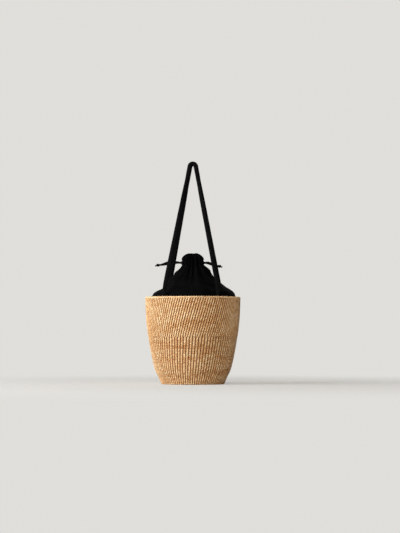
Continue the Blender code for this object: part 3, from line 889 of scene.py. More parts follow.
def rolled(around: int, along: int, flat: tuple[float, float], place: Place) -> bmesh.types.BMesh:
    """Lays a grid on a ring or tube, with a seam where its sides meet.

    Args:
        around: how many faces round.
        along: how many faces along.
        flat: the grid's size in metres when it is laid flat, for its UV map.
        place: gives a point for an angle round and a share along.

    Returns:
        The mesh, with its faces outwards where the share rises to the left of the angle.
    """
    bm = bmesh.new()
    bmesh.ops.create_grid(bm, x_segments=around, y_segments=along, size=0.5)
    uv = bm.loops.layers.uv.new("cloth")
    for face in bm.faces:
        face.smooth = True
        for loop in face.loops:
            loop[uv].uv = ((loop.vert.co.x + 0.5) * flat[0], (loop.vert.co.y + 0.5) * flat[1])
    for vertex in bm.verts:
        vertex.co = place((vertex.co.x + 0.5) * math.tau, min(max(vertex.co.y + 0.5, 0), 1))
    bmesh.ops.remove_doubles(bm, verts=bm.verts, dist=WELD)
    return bm


def cap_ends(bm: bmesh.types.BMesh) -> None:
    """Closes a tube's two ends."""
    ends = [edge for edge in bm.edges if edge.is_boundary]
    bmesh.ops.holes_fill(bm, edges=ends)


def on_curve(points: list[Vector], share: float, closed: bool = False) -> Vector:
    """Gives the place a share of the way along a smooth curve through points.

    Args:
        points: the curve's own points.
        share: how far along, from 0 to 1, with each stretch between points taken as one step.
        closed: whether the last point leads back to the first.

    Returns:
        The point there.
    """
    count = len(points) if closed else len(points) - 1
    held = min(max(share, 0), 1) * count
    number = min(int(held), count - 1)
    along = held - number
    if closed:
        before, start, end, after = [points[(number + step) % count] for step in (-1, 0, 1, 2)]
    else:
        start, end = points[number], points[number + 1]
        before = points[number - 1] if number else start * 2 - end
        after = points[number + 2] if number + 2 <= count else end * 2 - start
    return (
        start * 2
        + (end - before) * along
        + (before * 2 - start * 5 + end * 4 - after) * along ** 2
        + (start * 3 - before - end * 3 + after) * along ** 3
    ) / 2


def angle_between(first: float, second: float) -> float:
    """Gives the shorter way from the second angle to the first, from minus to plus half a turn."""
    return (first - second + math.pi) % math.tau - math.pi


def round_point(radius: float, angle: float, height: float) -> Vector:
    """Gives a point from its radius, angle and height."""
    return Vector((radius * math.cos(angle), radius * math.sin(angle), height))


@dataclass
class Gathers:
    """Where the drawn cloth creases round the neck: the skirt, casing and frill share these."""

    count: int = 19
    unevenness: float = 0.26
    roundness: float = 0.62
    turned: float = math.radians(-5)
    seed: int = 11

    def __post_init__(self) -> None:
        """Places the creases unevenly and gives each puff its own height."""
        chance = random.Random(self.seed)
        steps = [number + chance.uniform(-1, 1) * self.unevenness for number in range(self.count)]
        places = [self.turned + math.tau * step / self.count for step in steps]
        self.edges = [places[-1] - math.tau, *places, places[0] + math.tau, places[1] + math.tau]
        self.heights = [chance.uniform(-1, 1) for _ in range(self.count)]

    def at(self, angle: float) -> tuple[float, float]:
        """Gives how near its puff's crest an angle lies, from 0 to 1, and how high that puff stands."""
        angle %= math.tau
        number = next(i for i, edge in enumerate(self.edges[1:]) if angle < edge)
        along = (angle - self.edges[number]) / (self.edges[number + 1] - self.edges[number])
        crest = math.sin(math.pi * along) ** self.roundness
        return crest, crest * self.heights[number % self.count]


@dataclass(frozen=True)
class Fold:
    """One of the main folds that run down the lining's top from the neck."""

    degrees: float
    width: float
    height: float
    reach: float
    sway: float

    def rise(self, angle: float, share: float) -> float:
        """Gives how far the fold lifts the cloth at an angle and a share of the way up."""
        middle = math.radians(self.degrees + self.sway * (1 - share))
        wide = math.radians(self.width) * (1.9 - 0.9 * share)
        off = abs(angle_between(angle, middle)) / wide
        if off >= 1:
            return 0
        window = ease((share - self.reach) / 0.3) * (1 - 0.5 * ease((share - 0.8) / 0.2))
        return self.height * MM * (1 - off ** 1.6) ** 2 * window


@dataclass
class Lining:
    """The black cotton lining: its bottom and tube inside the basket and its drawn top."""

    outline: Outline
    gathers: Gathers = field(default_factory=Gathers)
    cloth: float = 0.7 * MM
    cut_width: float = 0.690
    neck_width: float = 0.320
    skirt_length: float = 0.143
    casing_length: float = 0.036
    frill_length: float = 0.046
    skirt_left: tuple = (
        (0, 1), (0.10, 0.985), (0.17, 0.91), (0.24, 0.86), (0.30, 0.76), (0.355, 0.63), (0.41, 0.54),
        (0.48, 0.51), (0.575, 0.455), (0.68, 0.275), (0.765, 0.205), (0.85, 0.10), (0.93, 0.035), (1, 0),
    )
    skirt_right: tuple = (
        (0, 1), (0.10, 0.99), (0.17, 0.965), (0.24, 0.935), (0.30, 0.875), (0.355, 0.785), (0.41, 0.68),
        (0.48, 0.585), (0.575, 0.42), (0.68, 0.30), (0.765, 0.23), (0.85, 0.195), (0.93, 0.10), (1, 0),
    )
    gather_shares: tuple = ((0, 0), (0.30, 0), (0.50, 0.07), (0.68, 0.22), (0.84, 0.52), (1, 1))
    gather_depth: float = 9 * MM
    folds: tuple = (
        Fold(-113, 13, 4.2, 0.42, -5), Fold(-93, 10, 3.4, 0.52, 4), Fold(-76, 12, 4.8, 0.10, 4),
        Fold(-51, 15, 3.6, 0.30, 6), Fold(-20, 16, 4.2, 0.34, -6), Fold(11, 14, 3.4, 0.48, 5),
        Fold(40, 16, 4.4, 0.22, 4), Fold(72, 14, 3.8, 0.38, -6), Fold(104, 16, 4.4, 0.26, 4),
        Fold(135, 13, 3.2, 0.45, 6), Fold(161, 15, 4.2, 0.28, -5), Fold(-168, 13, 3.4, 0.46, 4),
        Fold(-141, 16, 4.6, 0.20, 5),
    )
    # Each section's points: radius, height over its foot, depth of the creases there, in millimetres
    casing_section: tuple = (
        (26.9, 0.1, 10.4), (28.6, 1.6, 10.9), (29.6, 5.7, 11.2), (28.7, 9.8, 10.9),
        (27.0, 11.3, 10.4), (21.5, 10.6, 8.6), (17.6, 5.8, 7.6), (21.0, 0.9, 8.6),
    )
    frill_section: tuple = (
        (24.6, -2.8, 9.4), (26.6, -0.6, 10.6), (28.2, 1.6, 11.0), (28.5, 3.9, 10.9), (27.4, 6.9, 9.6),
        (25.0, 10.0, 7.9), (21.6, 13.0, 5.0), (17.4, 15.6, 2.6), (13.0, 17.3, 1.2), (10.0, 17.7, 1.0),
        (8.6, 15.8, 3.0), (9.4, 11.5, 6.8), (9.8, 5.5, 8.0), (10.0, 0.6, 8.2),
    )
    tuck: float = 2.0 * MM
    tuck_radius: float = 25.4 * MM
    wrinkle: float = 0.9 * MM
    wrinkle_scale: float = 34
    thread_count: int = 128
    eyelet_radius: float = 3.2 * MM
    eyelet_stitches: int = 18
    exits: tuple = ()

    def __post_init__(self) -> None:
        """Reads the places that the frame gives."""
        self.material = ClothFinish("black_cotton").material()
        self.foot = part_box("lining_skirt")[0].z
        self.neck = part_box("drawstring_casing")[0].z
        self.frill_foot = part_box("gathered_frill")[0].z
        self.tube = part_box("lining_wall")
        self.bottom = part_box("lining_bottom")[1]
        seam = self.tube[1]
        self.inside = self.outline.radius(seam.z) - seam.x

    def build(self) -> list[tuple[bpy.types.Object, tuple[str, ...]]]:
        """Builds every piece of cloth.

        Returns:
            Each piece with the names of the nodes that it stands for.
        """
        top = (self.neck_width, self.frill_length)
        channel = (self.neck_width, self.casing_length)
        skirt = (self.cut_width, self.skirt_length)
        tapered = (self.cut_width + self.neck_width) / 2 * self.skirt_length
        low, high = self.tube
        tube = (self.cut_width, high.z - low.z)
        narrowing = self.cut_width * 0.87 * tube[1]
        wide = 2 * self.bottom.x
        plan = (
            ("gathered_top", "gathered_frill", self.frill_place, (400, 46), top, None, "gathered"),
            ("drawstring_channel", "drawstring_casing", self.casing_place, (400, 26), channel, None, "gathered"),
            ("lining_top", "lining_skirt", self.skirt_place, (380, 84), skirt, tapered, "gathered"),
            ("lining_tube", "lining_wall", self.tube_place, (144, 60), tube, narrowing, "hung"),
            ("lining_round", "lining_bottom", self.round_place, (96, 20), (wide, wide), math.pi / 4 * wide ** 2, "laid"),
        )
        made = []
        for name, node, place, steps, flat, area, held in plan:
            piece = self.panel(name, place, steps, flat)
            trim = [self.channel_thread()] if node == "drawstring_casing" else []
            made.append((piece, (node,)))
        return made

    def panel(self, name: str, place: Place, steps: tuple[int, int], flat: tuple) -> bpy.types.Object:
        """Makes one piece of cloth of even thickness."""
        made = place_piece(name, rolled(*steps, flat, place), self.material)
        shell = made.modifiers.new("cloth", "SOLIDIFY")
        shell.thickness = self.cloth
        shell.offset = -1
        return made

    def _wrinkled(self, point: Vector, size: float) -> float:
        """Gives the small wrinkles' depth at a point."""
        return noise.fractal(point * self.wrinkle_scale, 0.7, 2.2, 4) * size

    def skirt_line(self, angle: float, share: float) -> tuple[float, float]:
        """Gives the drawn top's radius and height, without its folds, on the way up at an angle."""
        to_right = 0.5 + 0.5 * math.cos(angle)
        left, right = [through_pairs(table, share) for table in (self.skirt_left, self.skirt_right)]
        seam = self.outline.radius(self.foot) - self.inside
        radius = between(self.tuck_radius, seam, between(left, right, to_right))
        return radius, between(self.foot, self.neck + self.tuck, share)

    def skirt_place(self, angle: float, share: float) -> Vector:
        """Gives a point of the drawn top, with its gathers, folds and wrinkles."""
        radius, height = self.skirt_line(angle, share)
        step = 0.01
        low, high = [self.skirt_line(angle, min(max(share + way, 0), 1)) for way in (-step, step)]
        out, up = high[1] - low[1], (low[0] - high[0]) * (1 - ease((share - 0.72) / 0.24))
        size = math.hypot(out, up)
        crest, puff = self.gathers.at(angle)
        drawn = through_pairs(self.gather_shares, share)
        depth = sum(fold.rise(angle, share) for fold in self.folds) * (0.35 + 0.65 * crest)
        depth -= self.gather_depth * drawn * (1 - crest)
        depth += 0.9 * MM * puff * drawn
        depth += self._wrinkled(round_point(radius, angle, height), self.wrinkle) * ease(share / 0.2) * (1 - drawn)
        return round_point(radius + depth * out / size, angle, height + depth * up / size)

    def _creased(self, angle: float, depth: float) -> float:
        """Gives how far a crease of a depth, or the puff beside it, moves the cloth at an angle."""
        crest, puff = self.gathers.at(angle)
        return 0.7 * MM * puff - depth * (1 - crest)

    def casing_place(self, angle: float, share: float) -> Vector:
        """Gives a point of the channel, which lies smooth where the strings come out."""
        here = on_curve([Vector(point) * MM for point in self.casing_section], share, True)
        nearest = min(abs(angle_between(angle, math.atan2(y, x))) for x, y, _ in self.exits)
        loose = 1 - 0.9 * ease(1.7 - nearest / math.radians(5.5))
        depth = self._creased(angle, here.z) + self._wrinkled(round_point(here.x, angle, here.y), 0.35 * MM)
        return round_point(here.x + depth * loose, angle, self.neck + here.y)

    def frill_place(self, angle: float, share: float) -> Vector:
        """Gives a point of the cloth above the channel, which curls in to the mouth."""
        section = [Vector(point) * MM for point in self.frill_section]
        here, near, far = [on_curve(section, share + way) for way in (0, -0.01, 0.01)]
        rise = (near.x - far.x) * ease((share - 0.12) / 0.25)
        run = Vector((far.y - near.y, rise)).normalized()
        depth = self._creased(angle, here.z) + self._wrinkled(round_point(here.x, angle, here.y), 0.45 * MM)
        return round_point(here.x + depth * run.x, angle, self.frill_foot + here.y + depth * run.y)

    def _channel_normal(self, angle: float, share: float) -> tuple[Vector, Vector, Vector]:
        """Gives the channel's directions round it, up it and outwards at a place."""
        step = 0.002
        ends = [self.casing_place(angle + way * math.tau, share) for way in (-step, step)]
        rise = [self.casing_place(angle, share + way) for way in (-step, step)]
        across = (ends[1] - ends[0]).normalized()
        up = (rise[1] - rise[0]).normalized()
        out = across.cross(up).normalized()
        return across, out.cross(across), out

    def channel_thread(self) -> bpy.types.Object:
        """Sews the channel: a row of stitches near each edge and a worked eyelet round each string."""
        work = Stitching("channel_thread", 31, unit_stitch())
        for share in (0.125, 0.375):
            for stitch in range(self.thread_count):
                angle = math.tau * stitch / self.thread_count
                across, up, out = self._channel_normal(angle, share)
                centre = self.casing_place(angle, share) + out * 0.05 * MM
                work.stamp(centre, (across, up, out), (0.95 * MM, 0.24 * MM, 0.20 * MM), 1, 0.5)
        for exit_at in self.exits:
            angle = math.atan2(exit_at[1], exit_at[0])
            across, up, out = self._channel_normal(angle, 0.25)
            middle = self.casing_place(angle, 0.25)
            for stitch in range(self.eyelet_stitches):
                turn = math.tau * stitch / self.eyelet_stitches
                along = across * math.cos(turn) + up * math.sin(turn)
                centre = middle + along * self.eyelet_radius - out * 0.15 * MM
                work.stamp(centre, (along, out.cross(along), out), (0.9 * MM, 0.55 * MM, 0.5 * MM), 0.8, 0.5)
        thread = work.piece(StrapFinish("black_thread").material())
        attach(thread, Body.BAG.value)
        log.info("channel thread: %d stitches", work.count)
        return thread

    def tube_place(self, angle: float, share: float) -> Vector:
        """Gives a point of the tube that lines the wall."""
        low, high = self.tube
        height = between(low.z, high.z, share)
        radius = self.outline.radius(height) - self.inside
        depth = self._wrinkled(round_point(radius, angle, height), self.wrinkle) - self.wrinkle
        return round_point(radius + depth * math.sin(math.pi * share), angle, height)

    def round_place(self, angle: float, share: float) -> Vector:
        """Gives a point of the round bottom, from its edge to its middle."""
        radius = self.bottom.x * (1 - share)
        depth = self._wrinkled(round_point(radius, angle, 0), 0.3 * MM) * math.sin(math.pi * share)
        return round_point(radius, angle, self.bottom.z + depth)


@dataclass
class Handle:
    """A long handle of sewn cotton, with its flat ends held between the wall and the lining."""

    outline: Outline
    width: float = 9.5 * MM
    middle_width: float = 11.3 * MM
    thickness: float = 5 * MM
    middle_thickness: float = 8.4 * MM
    top_thickness: float = 11.4 * MM
    end_thickness: float = 2.4 * MM
    end_gap: float = 0.3 * MM
    wall: float = 5.5 * MM
    relief: float = 0.7 * MM
    half_span: float = 67 * MM
    bend_radius: float = 7.5 * MM
    apex_gap: float = 0.8 * MM
    leg_bend: float = 30 * MM
    station: float = 2.2 * MM
    squareness: float = 0.74
    turn_shares: tuple = ((0, 0), (0.05, 0.02), (0.13, 0.28), (0.35, 0.78), (0.55, 1), (1, 1))
    stitch_pitch: float = 3.1 * MM
    sides: int = 28

    def __post_init__(self) -> None:
        """Reads the places that the frame gives."""
        hinge = next(joint for joint in frame["joints"] if joint["child"] == Body.FRONT_HANDLE.value)
        _, self.reach, self.hinge_height = hinge["pos_m"]
        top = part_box("front_handle")[1].z
        inward = -self.reach - self.width / 2 - self.apex_gap
        rise = top - self.top_thickness / 2 - self.hinge_height
        self.length = math.hypot(inward, rise)
        self.lean = math.atan2(inward, rise)
        self.material = StrapFinish().material()
        self.tab_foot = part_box("front_left_tab")[0].z
        self.wall_top = self.outline.top

    def build(self) -> list[bpy.types.Object]:
        """Builds both handles as whole straps, and hides the nodes that they stand for."""
        made = []
        for number, (side, body) in enumerate((("front", Body.FRONT_HANDLE), ("back", Body.BACK_HANDLE))):
            piece = self.strap(f"{side}_strap", number)
            lean_out = -1 if side == "front" else 1
            start = (0, -lean_out * self.reach, self.hinge_height - 6.3 * MM)
            end = (0, -lean_out * self.reach, self.hinge_height + 6.3 * MM)
            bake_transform(piece)
            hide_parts(f"{side}_handle", f"{side}_left_tab", f"{side}_right_tab")
            log.info("%s bends between %s and %s", piece.name, Body.BAG.value, body.value)
            made.append(piece)
        return made

    def _leg(self) -> list[tuple[float, float, float]]:
        """Gives places on one leg in the handle's own plane, hinge to apex, as out, up and tilt."""
        centre_up = self.length - self.bend_radius
        tilt = 0
        for _ in range(20):
            run = self.half_span - self.bend_radius * math.cos(tilt)
            tilt = math.atan2(run, centre_up + self.bend_radius * math.sin(tilt) - self.leg_bend / 2)
        slope = math.tan(tilt)
        tangent_up = centre_up + self.bend_radius * math.sin(tilt)
        steps = round(tangent_up / self.station)
        places = []
        for step in range(steps):
            up = tangent_up * step / steps
            bent = up ** 2 / (2 * self.leg_bend) if up < self.leg_bend else up - self.leg_bend / 2
            places.append((self.half_span - slope * bent, up, math.atan(slope * min(up / self.leg_bend, 1))))
        for step in range(8):
            swing = between(tilt, math.pi / 2, step / 7)
            up = centre_up + self.bend_radius * math.sin(swing)
            places.append((self.bend_radius * math.cos(swing), up, swing))
        return places

    def _leg_station(self, side: int, out: float, up: float, tilt: float) -> tuple[Vector, Vector, Vector]:
        """Gives a leg's middle and its directions across and along, flat at the rim, edge on at the top."""
        away = Vector((0, -math.cos(self.lean), math.sin(self.lean)))
        rise = Vector((0, math.sin(self.lean), math.cos(self.lean)))
        forward = Vector((-side * math.sin(tilt), 0, 0)) + rise * math.cos(tilt)
        outward = forward.cross(away) * side
        turn = through_pairs(self.turn_shares, 1 - up / self.length) * math.pi / 2
        across = (away * math.cos(turn) + outward * math.sin(turn)).normalized()
        foot = Vector((0, self.reach, self.hinge_height))
        return foot + Vector((side * out, 0, 0)) + rise * up, across, forward

    def _end_station(self, side: int, height: float) -> tuple[Vector, Vector, Vector]:
        """Gives the middle of the strap's flat end at a height, and its directions across and along."""
        outward = Vector((side * self.half_span, self.reach, 0)).normalized()
        inner = self.outline.radius(height) - self.relief - self.wall
        middle = outward * (inner - self.end_gap - self.end_thickness / 2) + UP * height
        return middle, (outward.cross(UP) * -1).normalized() if side > 0 else outward.cross(UP), UP

    def _halves(self, up: float) -> tuple[float, float]:
        """Gives the leg's half width and half thickness: flat at the rim, plump higher up, bunched at the top."""
        share = up / self.length
        wide = between(self.width, self.middle_width, ease(share / 0.15) * (1 - ease((share - 0.78) / 0.2)))
        thick = between(self.thickness, self.middle_thickness, ease((share - 0.12) / 0.4))
        return wide / 2, between(thick, self.top_thickness, ease((share - 0.80) / 0.16)) / 2

    def _stations(self) -> list[tuple[Vector, Vector, Vector, float, float]]:
        """Gives the strap's stations, end to end: middle, across, along, half width and half thickness."""
        stations = []
        for side in (1, -1):
            half = []
            steps = round((self.hinge_height - self.tab_foot) / self.station)
            for step in range(steps):
                height = between(self.tab_foot, self.hinge_height, step / steps)
                end = self._end_station(side, min(height, self.wall_top))
                half.append((*end, self.width / 2, self.end_thickness / 2))
            for out, up, tilt in self._leg():
                half.append((*self._leg_station(side, out, up, tilt), *self._halves(up)))
            half = self._eased(half, steps)
            stations += half if side > 0 else [(m, a, -f, w, t) for m, a, f, w, t in reversed(half[:-1])]
        return stations

    def _eased(self, half: list, seam: int) -> list:
        """Turns the flat end smoothly into the leg over a few stations round the hinge."""
        reach = 4
        low, high = half[seam - reach], half[seam + reach]
        eased = list(half)
        for number in range(seam - reach + 1, seam + reach):
            share = ease((number - seam + reach) / (2 * reach))
            middle = half[number][0].lerp(low[0].lerp(high[0], (number - seam + reach) / (2 * reach)), 0.5)
            across = low[1].lerp(high[1], share).normalized()
            along = low[2].lerp(high[2], share).normalized()
            eased[number] = (middle, across, along, low[3], between(low[4], high[4], share))
        return eased

    def strap(self, name: str, number: int) -> bpy.types.Object:
        """Makes one whole strap.

        Args:
            name: the piece's name.
            number: 0 for the front and 1 for the back, which is the front's half a turn round.

        Returns:
            The strap with its stitches.
        """
        stations = self._stations()
        last = len(stations) - 1
        perimeter = 2 * (self.width + self.thickness)
        length = sum((b[0] - a[0]).length for a, b in zip(stations, stations[1:]))

        def place(angle: float, share: float) -> Vector:
            middle, across, along, half_width, thick = stations[round(share * last)]
            through = along.cross(across)
            wide, deep = self._section(angle, share * length, number)
            return middle + across * wide * half_width + through * deep * thick

        bm = rolled(self.sides, last, (perimeter, length), place)
        cap_ends(bm)
        self._add_stitches(bm, stations, number)
        if number:
            bmesh.ops.rotate(bm, verts=bm.verts, cent=(0, 0, 0), matrix=Matrix.Rotation(math.pi, 3, "Z"))
        return place_piece(name, bm, self.material)

    def _section(self, angle: float, along: float, number: int) -> tuple[float, float]:
        """Gives a point of the strap's soft section, as shares of its half width and thickness."""
        wide = math.copysign(abs(math.cos(angle)) ** self.squareness, math.cos(angle))
        deep = math.copysign(abs(math.sin(angle)) ** self.squareness, math.sin(angle))
        slack = noise.noise(Vector((along * 45, number * 9, 0)))
        pucker = noise.noise(Vector((along * 260, wide * 1.7, deep + number * 5)))
        seam = math.exp(-((wide - 0.62) / 0.12) ** 2)
        wide *= 1 + 0.035 * slack
        deep *= 1 - 0.05 * slack + 0.07 * pucker - 0.16 * seam
        return wide, deep

    def _add_stitches(self, bm: bmesh.types.BMesh, stations: list, number: int) -> None:
        """Adds the row of stitches that closes the strap along one edge, on both faces."""
        work = Stitching("strap_stitches", 20 + number, unit_stitch())
        travelled = 0.0
        due = self.stitch_pitch
        for (here, across, along, half_width, thick), (there, *_) in zip(stations, stations[1:]):
            travelled += (there - here).length
            if travelled < due:
                continue
            due += self.stitch_pitch
            through = along.cross(across)
            for face in (1, -1):
                deep = math.sqrt(max(1 - 0.62 ** 2.7, 0)) * 0.86 * thick
                centre = here + across * (0.62 * half_width) + through * deep * face
                axes = (along, (through * face).cross(along), through * face)
                work.stamp(centre, axes, (1.15 * MM, 0.27 * MM, 0.22 * MM), 1, 0.4)
        join(bm, work.bm)


@dataclass(frozen=True)
class Drawstring:
    """One drawstring: two ends that leave the channel and meet in a knot."""

    hand: str
    side: int
    body: Body
    # Each end's route from where it leaves the channel: outwards, towards its fellow, up
    front: tuple
    back: tuple


@dataclass
class Drawstrings:
    """Both braided drawstrings with their knots."""

    diameter: float = 5 * MM
    spacing: float = 13 * MM
    exit_out: float = 25.923 * MM
    exit_up: float = 306.25 * MM
    ring_gap: float = 0.5 * MM
    sides: int = 32
    strands: int = 8
    braid_turn: float = math.tau / (13 * MM)
    relief: float = 0.085
    knot_gap: float = 0.3 * MM
    knot_length: float = 9 * MM
    knot_width: float = 11 * MM
    knot_height: float = 8 * MM
    knot_strand: float = 1.75 * MM
    strings: tuple = (
        Drawstring(
            "left", -1, Body.LEFT_STRING,
            ((-0.0220, 0, 0), (-0.0100, 0, 0), (0.0020, 0, 0), (0.0140, 0.0026, -0.0004),
             (0.0320, 0.0068, -0.0026), (0.0480, 0.0094, -0.0046), (0.0575, 0.0101, -0.0053)),
            ((-0.0220, 0, 0), (-0.0100, 0, 0), (0.0020, 0, 0), (0.0140, 0.0024, 0.0022),
             (0.0320, 0.0066, 0.0036), (0.0480, 0.0094, -0.0022), (0.0575, 0.0101, -0.0053)),
        ),
        Drawstring(
            "right", 1, Body.RIGHT_STRING,
            ((-0.0220, 0, 0), (-0.0100, 0, 0), (0.0020, 0, 0),
             (0.0120, 0.0032, -0.0018), (0.0240, 0.0080, -0.0056), (0.0365, 0.0101, -0.0085)),
            ((-0.0220, 0, 0), (-0.0100, 0, 0), (0.0020, 0, 0),
             (0.0120, 0.0032, 0.0012), (0.0240, 0.0080, -0.0032), (0.0365, 0.0101, -0.0085)),
        ),
    )

    def __post_init__(self) -> None:
        """Makes the braid's material."""
        self.material = CordFinish().material()

    def exits(self) -> tuple:
        """Gives the four places where the strings leave the channel."""
        sides = ((x, y) for x in (-1, 1) for y in (-1, 1))
        return tuple((x * self.exit_out, y * self.spacing, self.exit_up) for x, y in sides)

    def build(self) -> None:
        """Builds both drawstrings: each end as a cord, and each string's knot."""
        for string in self.strings:
            knot = self.knot(string)
            for fellow, (name, side_y, route) in enumerate((("front", -1, string.front), ("back", 1, string.back))):
                exit_at = Vector((string.side * self.exit_out, side_y * self.spacing, self.exit_up))
                points = []
                for outwards, inwards, up in route:
                    points.append(exit_at + Vector((string.side * outwards, -side_y * inwards, up)))
                path = self._path(points)
                piece = self.cord(f"{string.hand}_{name}_cord", path)
                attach(piece, string.body.value)
                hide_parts(f"{string.hand}_string_{name}")
                length = sum((b - a).length for a, b in zip(path, path[1:]))
                log.info("%s is %.1f mm long", piece.name, length / MM)

    def _path(self, points: list[Vector]) -> list[Vector]:
        """Gives points every half millimetre or so on the smooth curve through a route's points."""
        rough = sum((b - a).length for a, b in zip(points, points[1:]))
        steps = round(rough / self.ring_gap)
        fine = [on_curve(points, step / (8 * steps)) for step in range(8 * steps + 1)]
        lengths = [0.0]
        for near, far in zip(fine, fine[1:]):
            lengths.append(lengths[-1] + (far - near).length)
        path = []
        place = 0
        for step in range(steps + 1):
            wanted = lengths[-1] * step / steps
            while place < len(fine) - 1 and lengths[place] < wanted:
                place += 1
            path.append(fine[place])
        return path

    def _braided(self, path: list[Vector], radius: float, bulge: Callable[[float], float]) -> bmesh.types.BMesh:
        """Makes a tube with a braid's crossing strands along a path.

        Args:
            path: the tube's middle line, its points evenly spaced.
            radius: the tube's own radius.
            bulge: gives the radius's factor a share of the way along.

        Returns:
            The open tube.
        """
        last = len(path) - 1
        frames = []
        across = Vector((0, 0, 1))
        for number, point in enumerate(path):
            along = (path[min(number + 1, last)] - path[max(number - 1, 0)]).normalized()
            across = (across - along * across.dot(along)).normalized()
            frames.append((point, across, along.cross(across)))
        gap = (path[1] - path[0]).length

        def place(angle: float, share: float) -> Vector:
            number = round(share * last)
            point, first, second = frames[number]
            turned = self.braid_turn * number * gap
            half = self.strands / 2
            one = math.cos(half * angle + turned * 2)
            other = math.cos(half * angle - turned * 2)
            over = max(one, other)
            size = radius * bulge(share) * (1 - self.relief + self.relief * over)
            return point + (first * math.cos(angle) + second * math.sin(angle)) * size

        return rolled(self.sides, last, (math.tau * radius, last * gap), place)

    def cord(self, name: str, path: list[Vector]) -> bpy.types.Object:
        """Makes one end of a drawstring."""
        radius = self.diameter / 2 * (1 + self.relief / 2)

        def bulge(share: float) -> float:
            return 1 - 0.12 * ease((share - 0.93) / 0.07)

        bm = self._braided(path, radius, bulge)
        cap_ends(bm)
        return place_piece(name, bm, self.material)

    def knot(self, string: Drawstring) -> bpy.types.Object:
        """Makes a drawstring's knot, a pulled-tight overhand knot, with its two short cut tails."""
        end = Vector(string.front[-1])
        out = self.exit_out + end.x + self.knot_gap + self.knot_length / 2
        middle = Vector((string.side * out, 0, self.exit_up + end.z))
        strand = self.knot_strand
        halves = [size / 2 - strand for size in (self.knot_length, self.knot_width, self.knot_height)]
        steps = 150
        path = []
        for step in range(steps + 1):
            turn = math.tau * step / steps + 0.001
            wide = (math.sin(turn) + 2 * math.sin(2 * turn)) / 2.74
            tall = (math.cos(turn) - 2 * math.cos(2 * turn)) / 3
            deep = -math.sin(3 * turn)
            path.append(middle + Vector((deep * halves[0], wide * halves[1], tall * halves[2])))
        bm = self._braided(path, strand, lambda share: 1)
        bmesh.ops.remove_doubles(bm, verts=bm.verts, dist=WELD)
        cap_ends(bm)
        for way in (-1, 1):
            self._add_tail(bm, middle, string.side, way)
        knot = place_piece(f"{string.hand}_cord_knot", bm, self.material)
        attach(knot, string.body.value)
        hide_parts(f"{string.hand}_knot")
        return knot

    def _add_tail(self, bm: bmesh.types.BMesh, middle: Vector, side: int, way: int) -> None:
        """Adds a short cut end that sticks out of the knot."""
        points = [
            middle + Vector((side * 1.5 * MM, way * 1.2 * MM, -0.4 * MM)),
            middle + Vector((side * 4.6 * MM, way * 2.0 * MM, -1.4 * MM)),
            middle + Vector((side * 7.2 * MM, way * 2.3 * MM, -2.9 * MM)),
        ]
        path = self._path(points)
        tail = self._braided(path, 1.55 * MM, lambda share: 1 + 0.22 * share ** 3)
        cap_ends(tail)
        join(bm, tail)


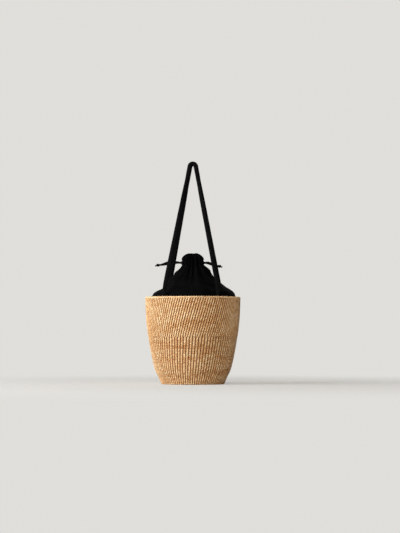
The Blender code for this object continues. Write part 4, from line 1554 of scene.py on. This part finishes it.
@dataclass
class Studio:
    """The floor, the lamps and the camera."""

    lens: float = 106.9
    eye: Point = (0.19, -4.0, 0.115)
    aim: Point = (0.018, 0, 0.297)
    key_place: Point = (-2.45, -1.15, 1.35)
    key_power: float = 111
    key_colour: Point = (1, 1, 1)
    key_size: float = 2.5
    fill_place: Point = (-0.30, -2.9, 1.3)
    fill_power: float = 40
    fill_colour: Point = (1, 0.93, 0.855)
    fill_size: float = 1.0
    world_strength: float = 0.115
    world_colour: Point = (1, 0.72, 0.52)
    floor_half: float = 6
    cove_start: float = 1.6
    cove_radius: float = 1.4
    wall_height: float = 4

    def build(self) -> None:
        """Builds everything round the basket."""
        self.floor()
        self.lamp("key_lamp", self.key_place, self.key_power, self.key_size, self.key_colour)
        self.lamp("fill_lamp", self.fill_place, self.fill_power, self.fill_size, self.fill_colour)
        self.world()
        self.camera()
        bpy.context.scene.view_settings.view_transform = "Standard"

    def floor(self) -> None:
        """Makes the floor, which curves up into a backdrop behind the basket."""
        bm = bmesh.new()
        start = [bm.verts.new((x, -self.floor_half, 0)) for x in (-self.floor_half, self.floor_half)]
        edge = bm.edges.new(start)
        moved = bmesh.ops.extrude_edge_only(bm, edges=[edge])["geom"]
        verts = [item for item in moved if isinstance(item, bmesh.types.BMVert)]
        bmesh.ops.translate(bm, verts=verts, vec=(0, self.floor_half + self.cove_start, 0))
        last = [item for item in moved if isinstance(item, bmesh.types.BMEdge)]
        centre = (0, self.cove_start, self.cove_radius)
        settings = {"cent": centre, "axis": (1, 0, 0), "angle": math.pi / 2, "steps": 24}
        turned = bmesh.ops.spin(bm, geom=verts + last, **settings)["geom_last"]
        rise = bmesh.ops.extrude_edge_only(bm, edges=[e for e in turned if isinstance(e, bmesh.types.BMEdge)])
        tops = [item for item in rise["geom"] if isinstance(item, bmesh.types.BMVert)]
        bmesh.ops.translate(bm, verts=tops, vec=(0, 0, self.wall_height))
        for face in bm.faces:
            face.smooth = True
        mesh = bpy.data.meshes.new("floor")
        bm.to_mesh(mesh)
        bm.free()
        mesh.materials.append(StageFinish().material())
        made = bpy.data.objects.new("floor", mesh)
        bpy.context.scene.collection.objects.link(made)

    def lamp(self, name: str, place: Point, power: float, size: float, colour: Point) -> None:
        """Adds one soft square lamp, aimed at the basket."""
        light = bpy.data.lights.new(name, "AREA")
        light.energy = power
        light.size = size
        light.color = colour
        made = bpy.data.objects.new(name, light)
        made.location = place
        aim = Vector(self.aim) - Vector(place)
        made.rotation_euler = aim.to_track_quat("-Z", "Y").to_euler()
        bpy.context.scene.collection.objects.link(made)

    def world(self) -> None:
        """Lights the shadows evenly, and shows the backdrop's colour where that ends."""
        world = bpy.data.worlds.new("even_light")
        bpy.context.scene.world = world
        world.use_nodes = True
        tree = world.node_tree
        unseen = tree.nodes["Background"]
        unseen.inputs["Color"].default_value = (*self.world_colour, 1)
        unseen.inputs["Strength"].default_value = self.world_strength
        seen = tree.nodes.new("ShaderNodeBackground")
        seen.inputs["Color"].default_value = (*StageFinish().shown, 1)
        rays = tree.nodes.new("ShaderNodeLightPath")
        mix = tree.nodes.new("ShaderNodeMixShader")
        tree.links.new(rays.outputs["Is Camera Ray"], mix.inputs[0])
        tree.links.new(unseen.outputs[0], mix.inputs[1])
        tree.links.new(seen.outputs[0], mix.inputs[2])
        tree.links.new(mix.outputs[0], tree.nodes["World Output"].inputs["Surface"])

    def camera(self) -> None:
        """Puts the camera a little below the middle of the handles, almost level."""
        data = bpy.data.cameras.new("camera")
        data.lens = self.lens
        data.clip_end = 40
        made = bpy.data.objects.new("camera", data)
        made.location = self.eye
        aim = Vector(self.aim) - Vector(self.eye)
        made.rotation_euler = aim.to_track_quat("-Z", "Y").to_euler()
        bpy.context.scene.collection.objects.link(made)
        bpy.context.scene.camera = made


def dress(pieces: list, body: Body, slot: Slot) -> None:
    """Puts pieces on a body, in the place of the nodes that they stand for."""
    for piece, nodes in pieces:
        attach(piece, body.value)
        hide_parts(*nodes)
        log.info("%s stands for %s", piece.name, ", ".join(nodes))


def main() -> None:
    """Builds the studio and every sub-assembly."""
    logging.basicConfig(level=logging.INFO, format="%(name)s: %(message)s")
    Studio().build()
    basket = WovenBasket()
    drawstrings = Drawstrings()
    lining = Lining(outline=basket.outline, exits=drawstrings.exits())
    drawstrings.build()
    dress(basket.build(), Body.BAG, Slot.STRAW)
    dress(lining.build(), Body.BAG, Slot.LINING)
    Handle(outline=basket.outline).build()


if __name__ == "__main__":
    main()
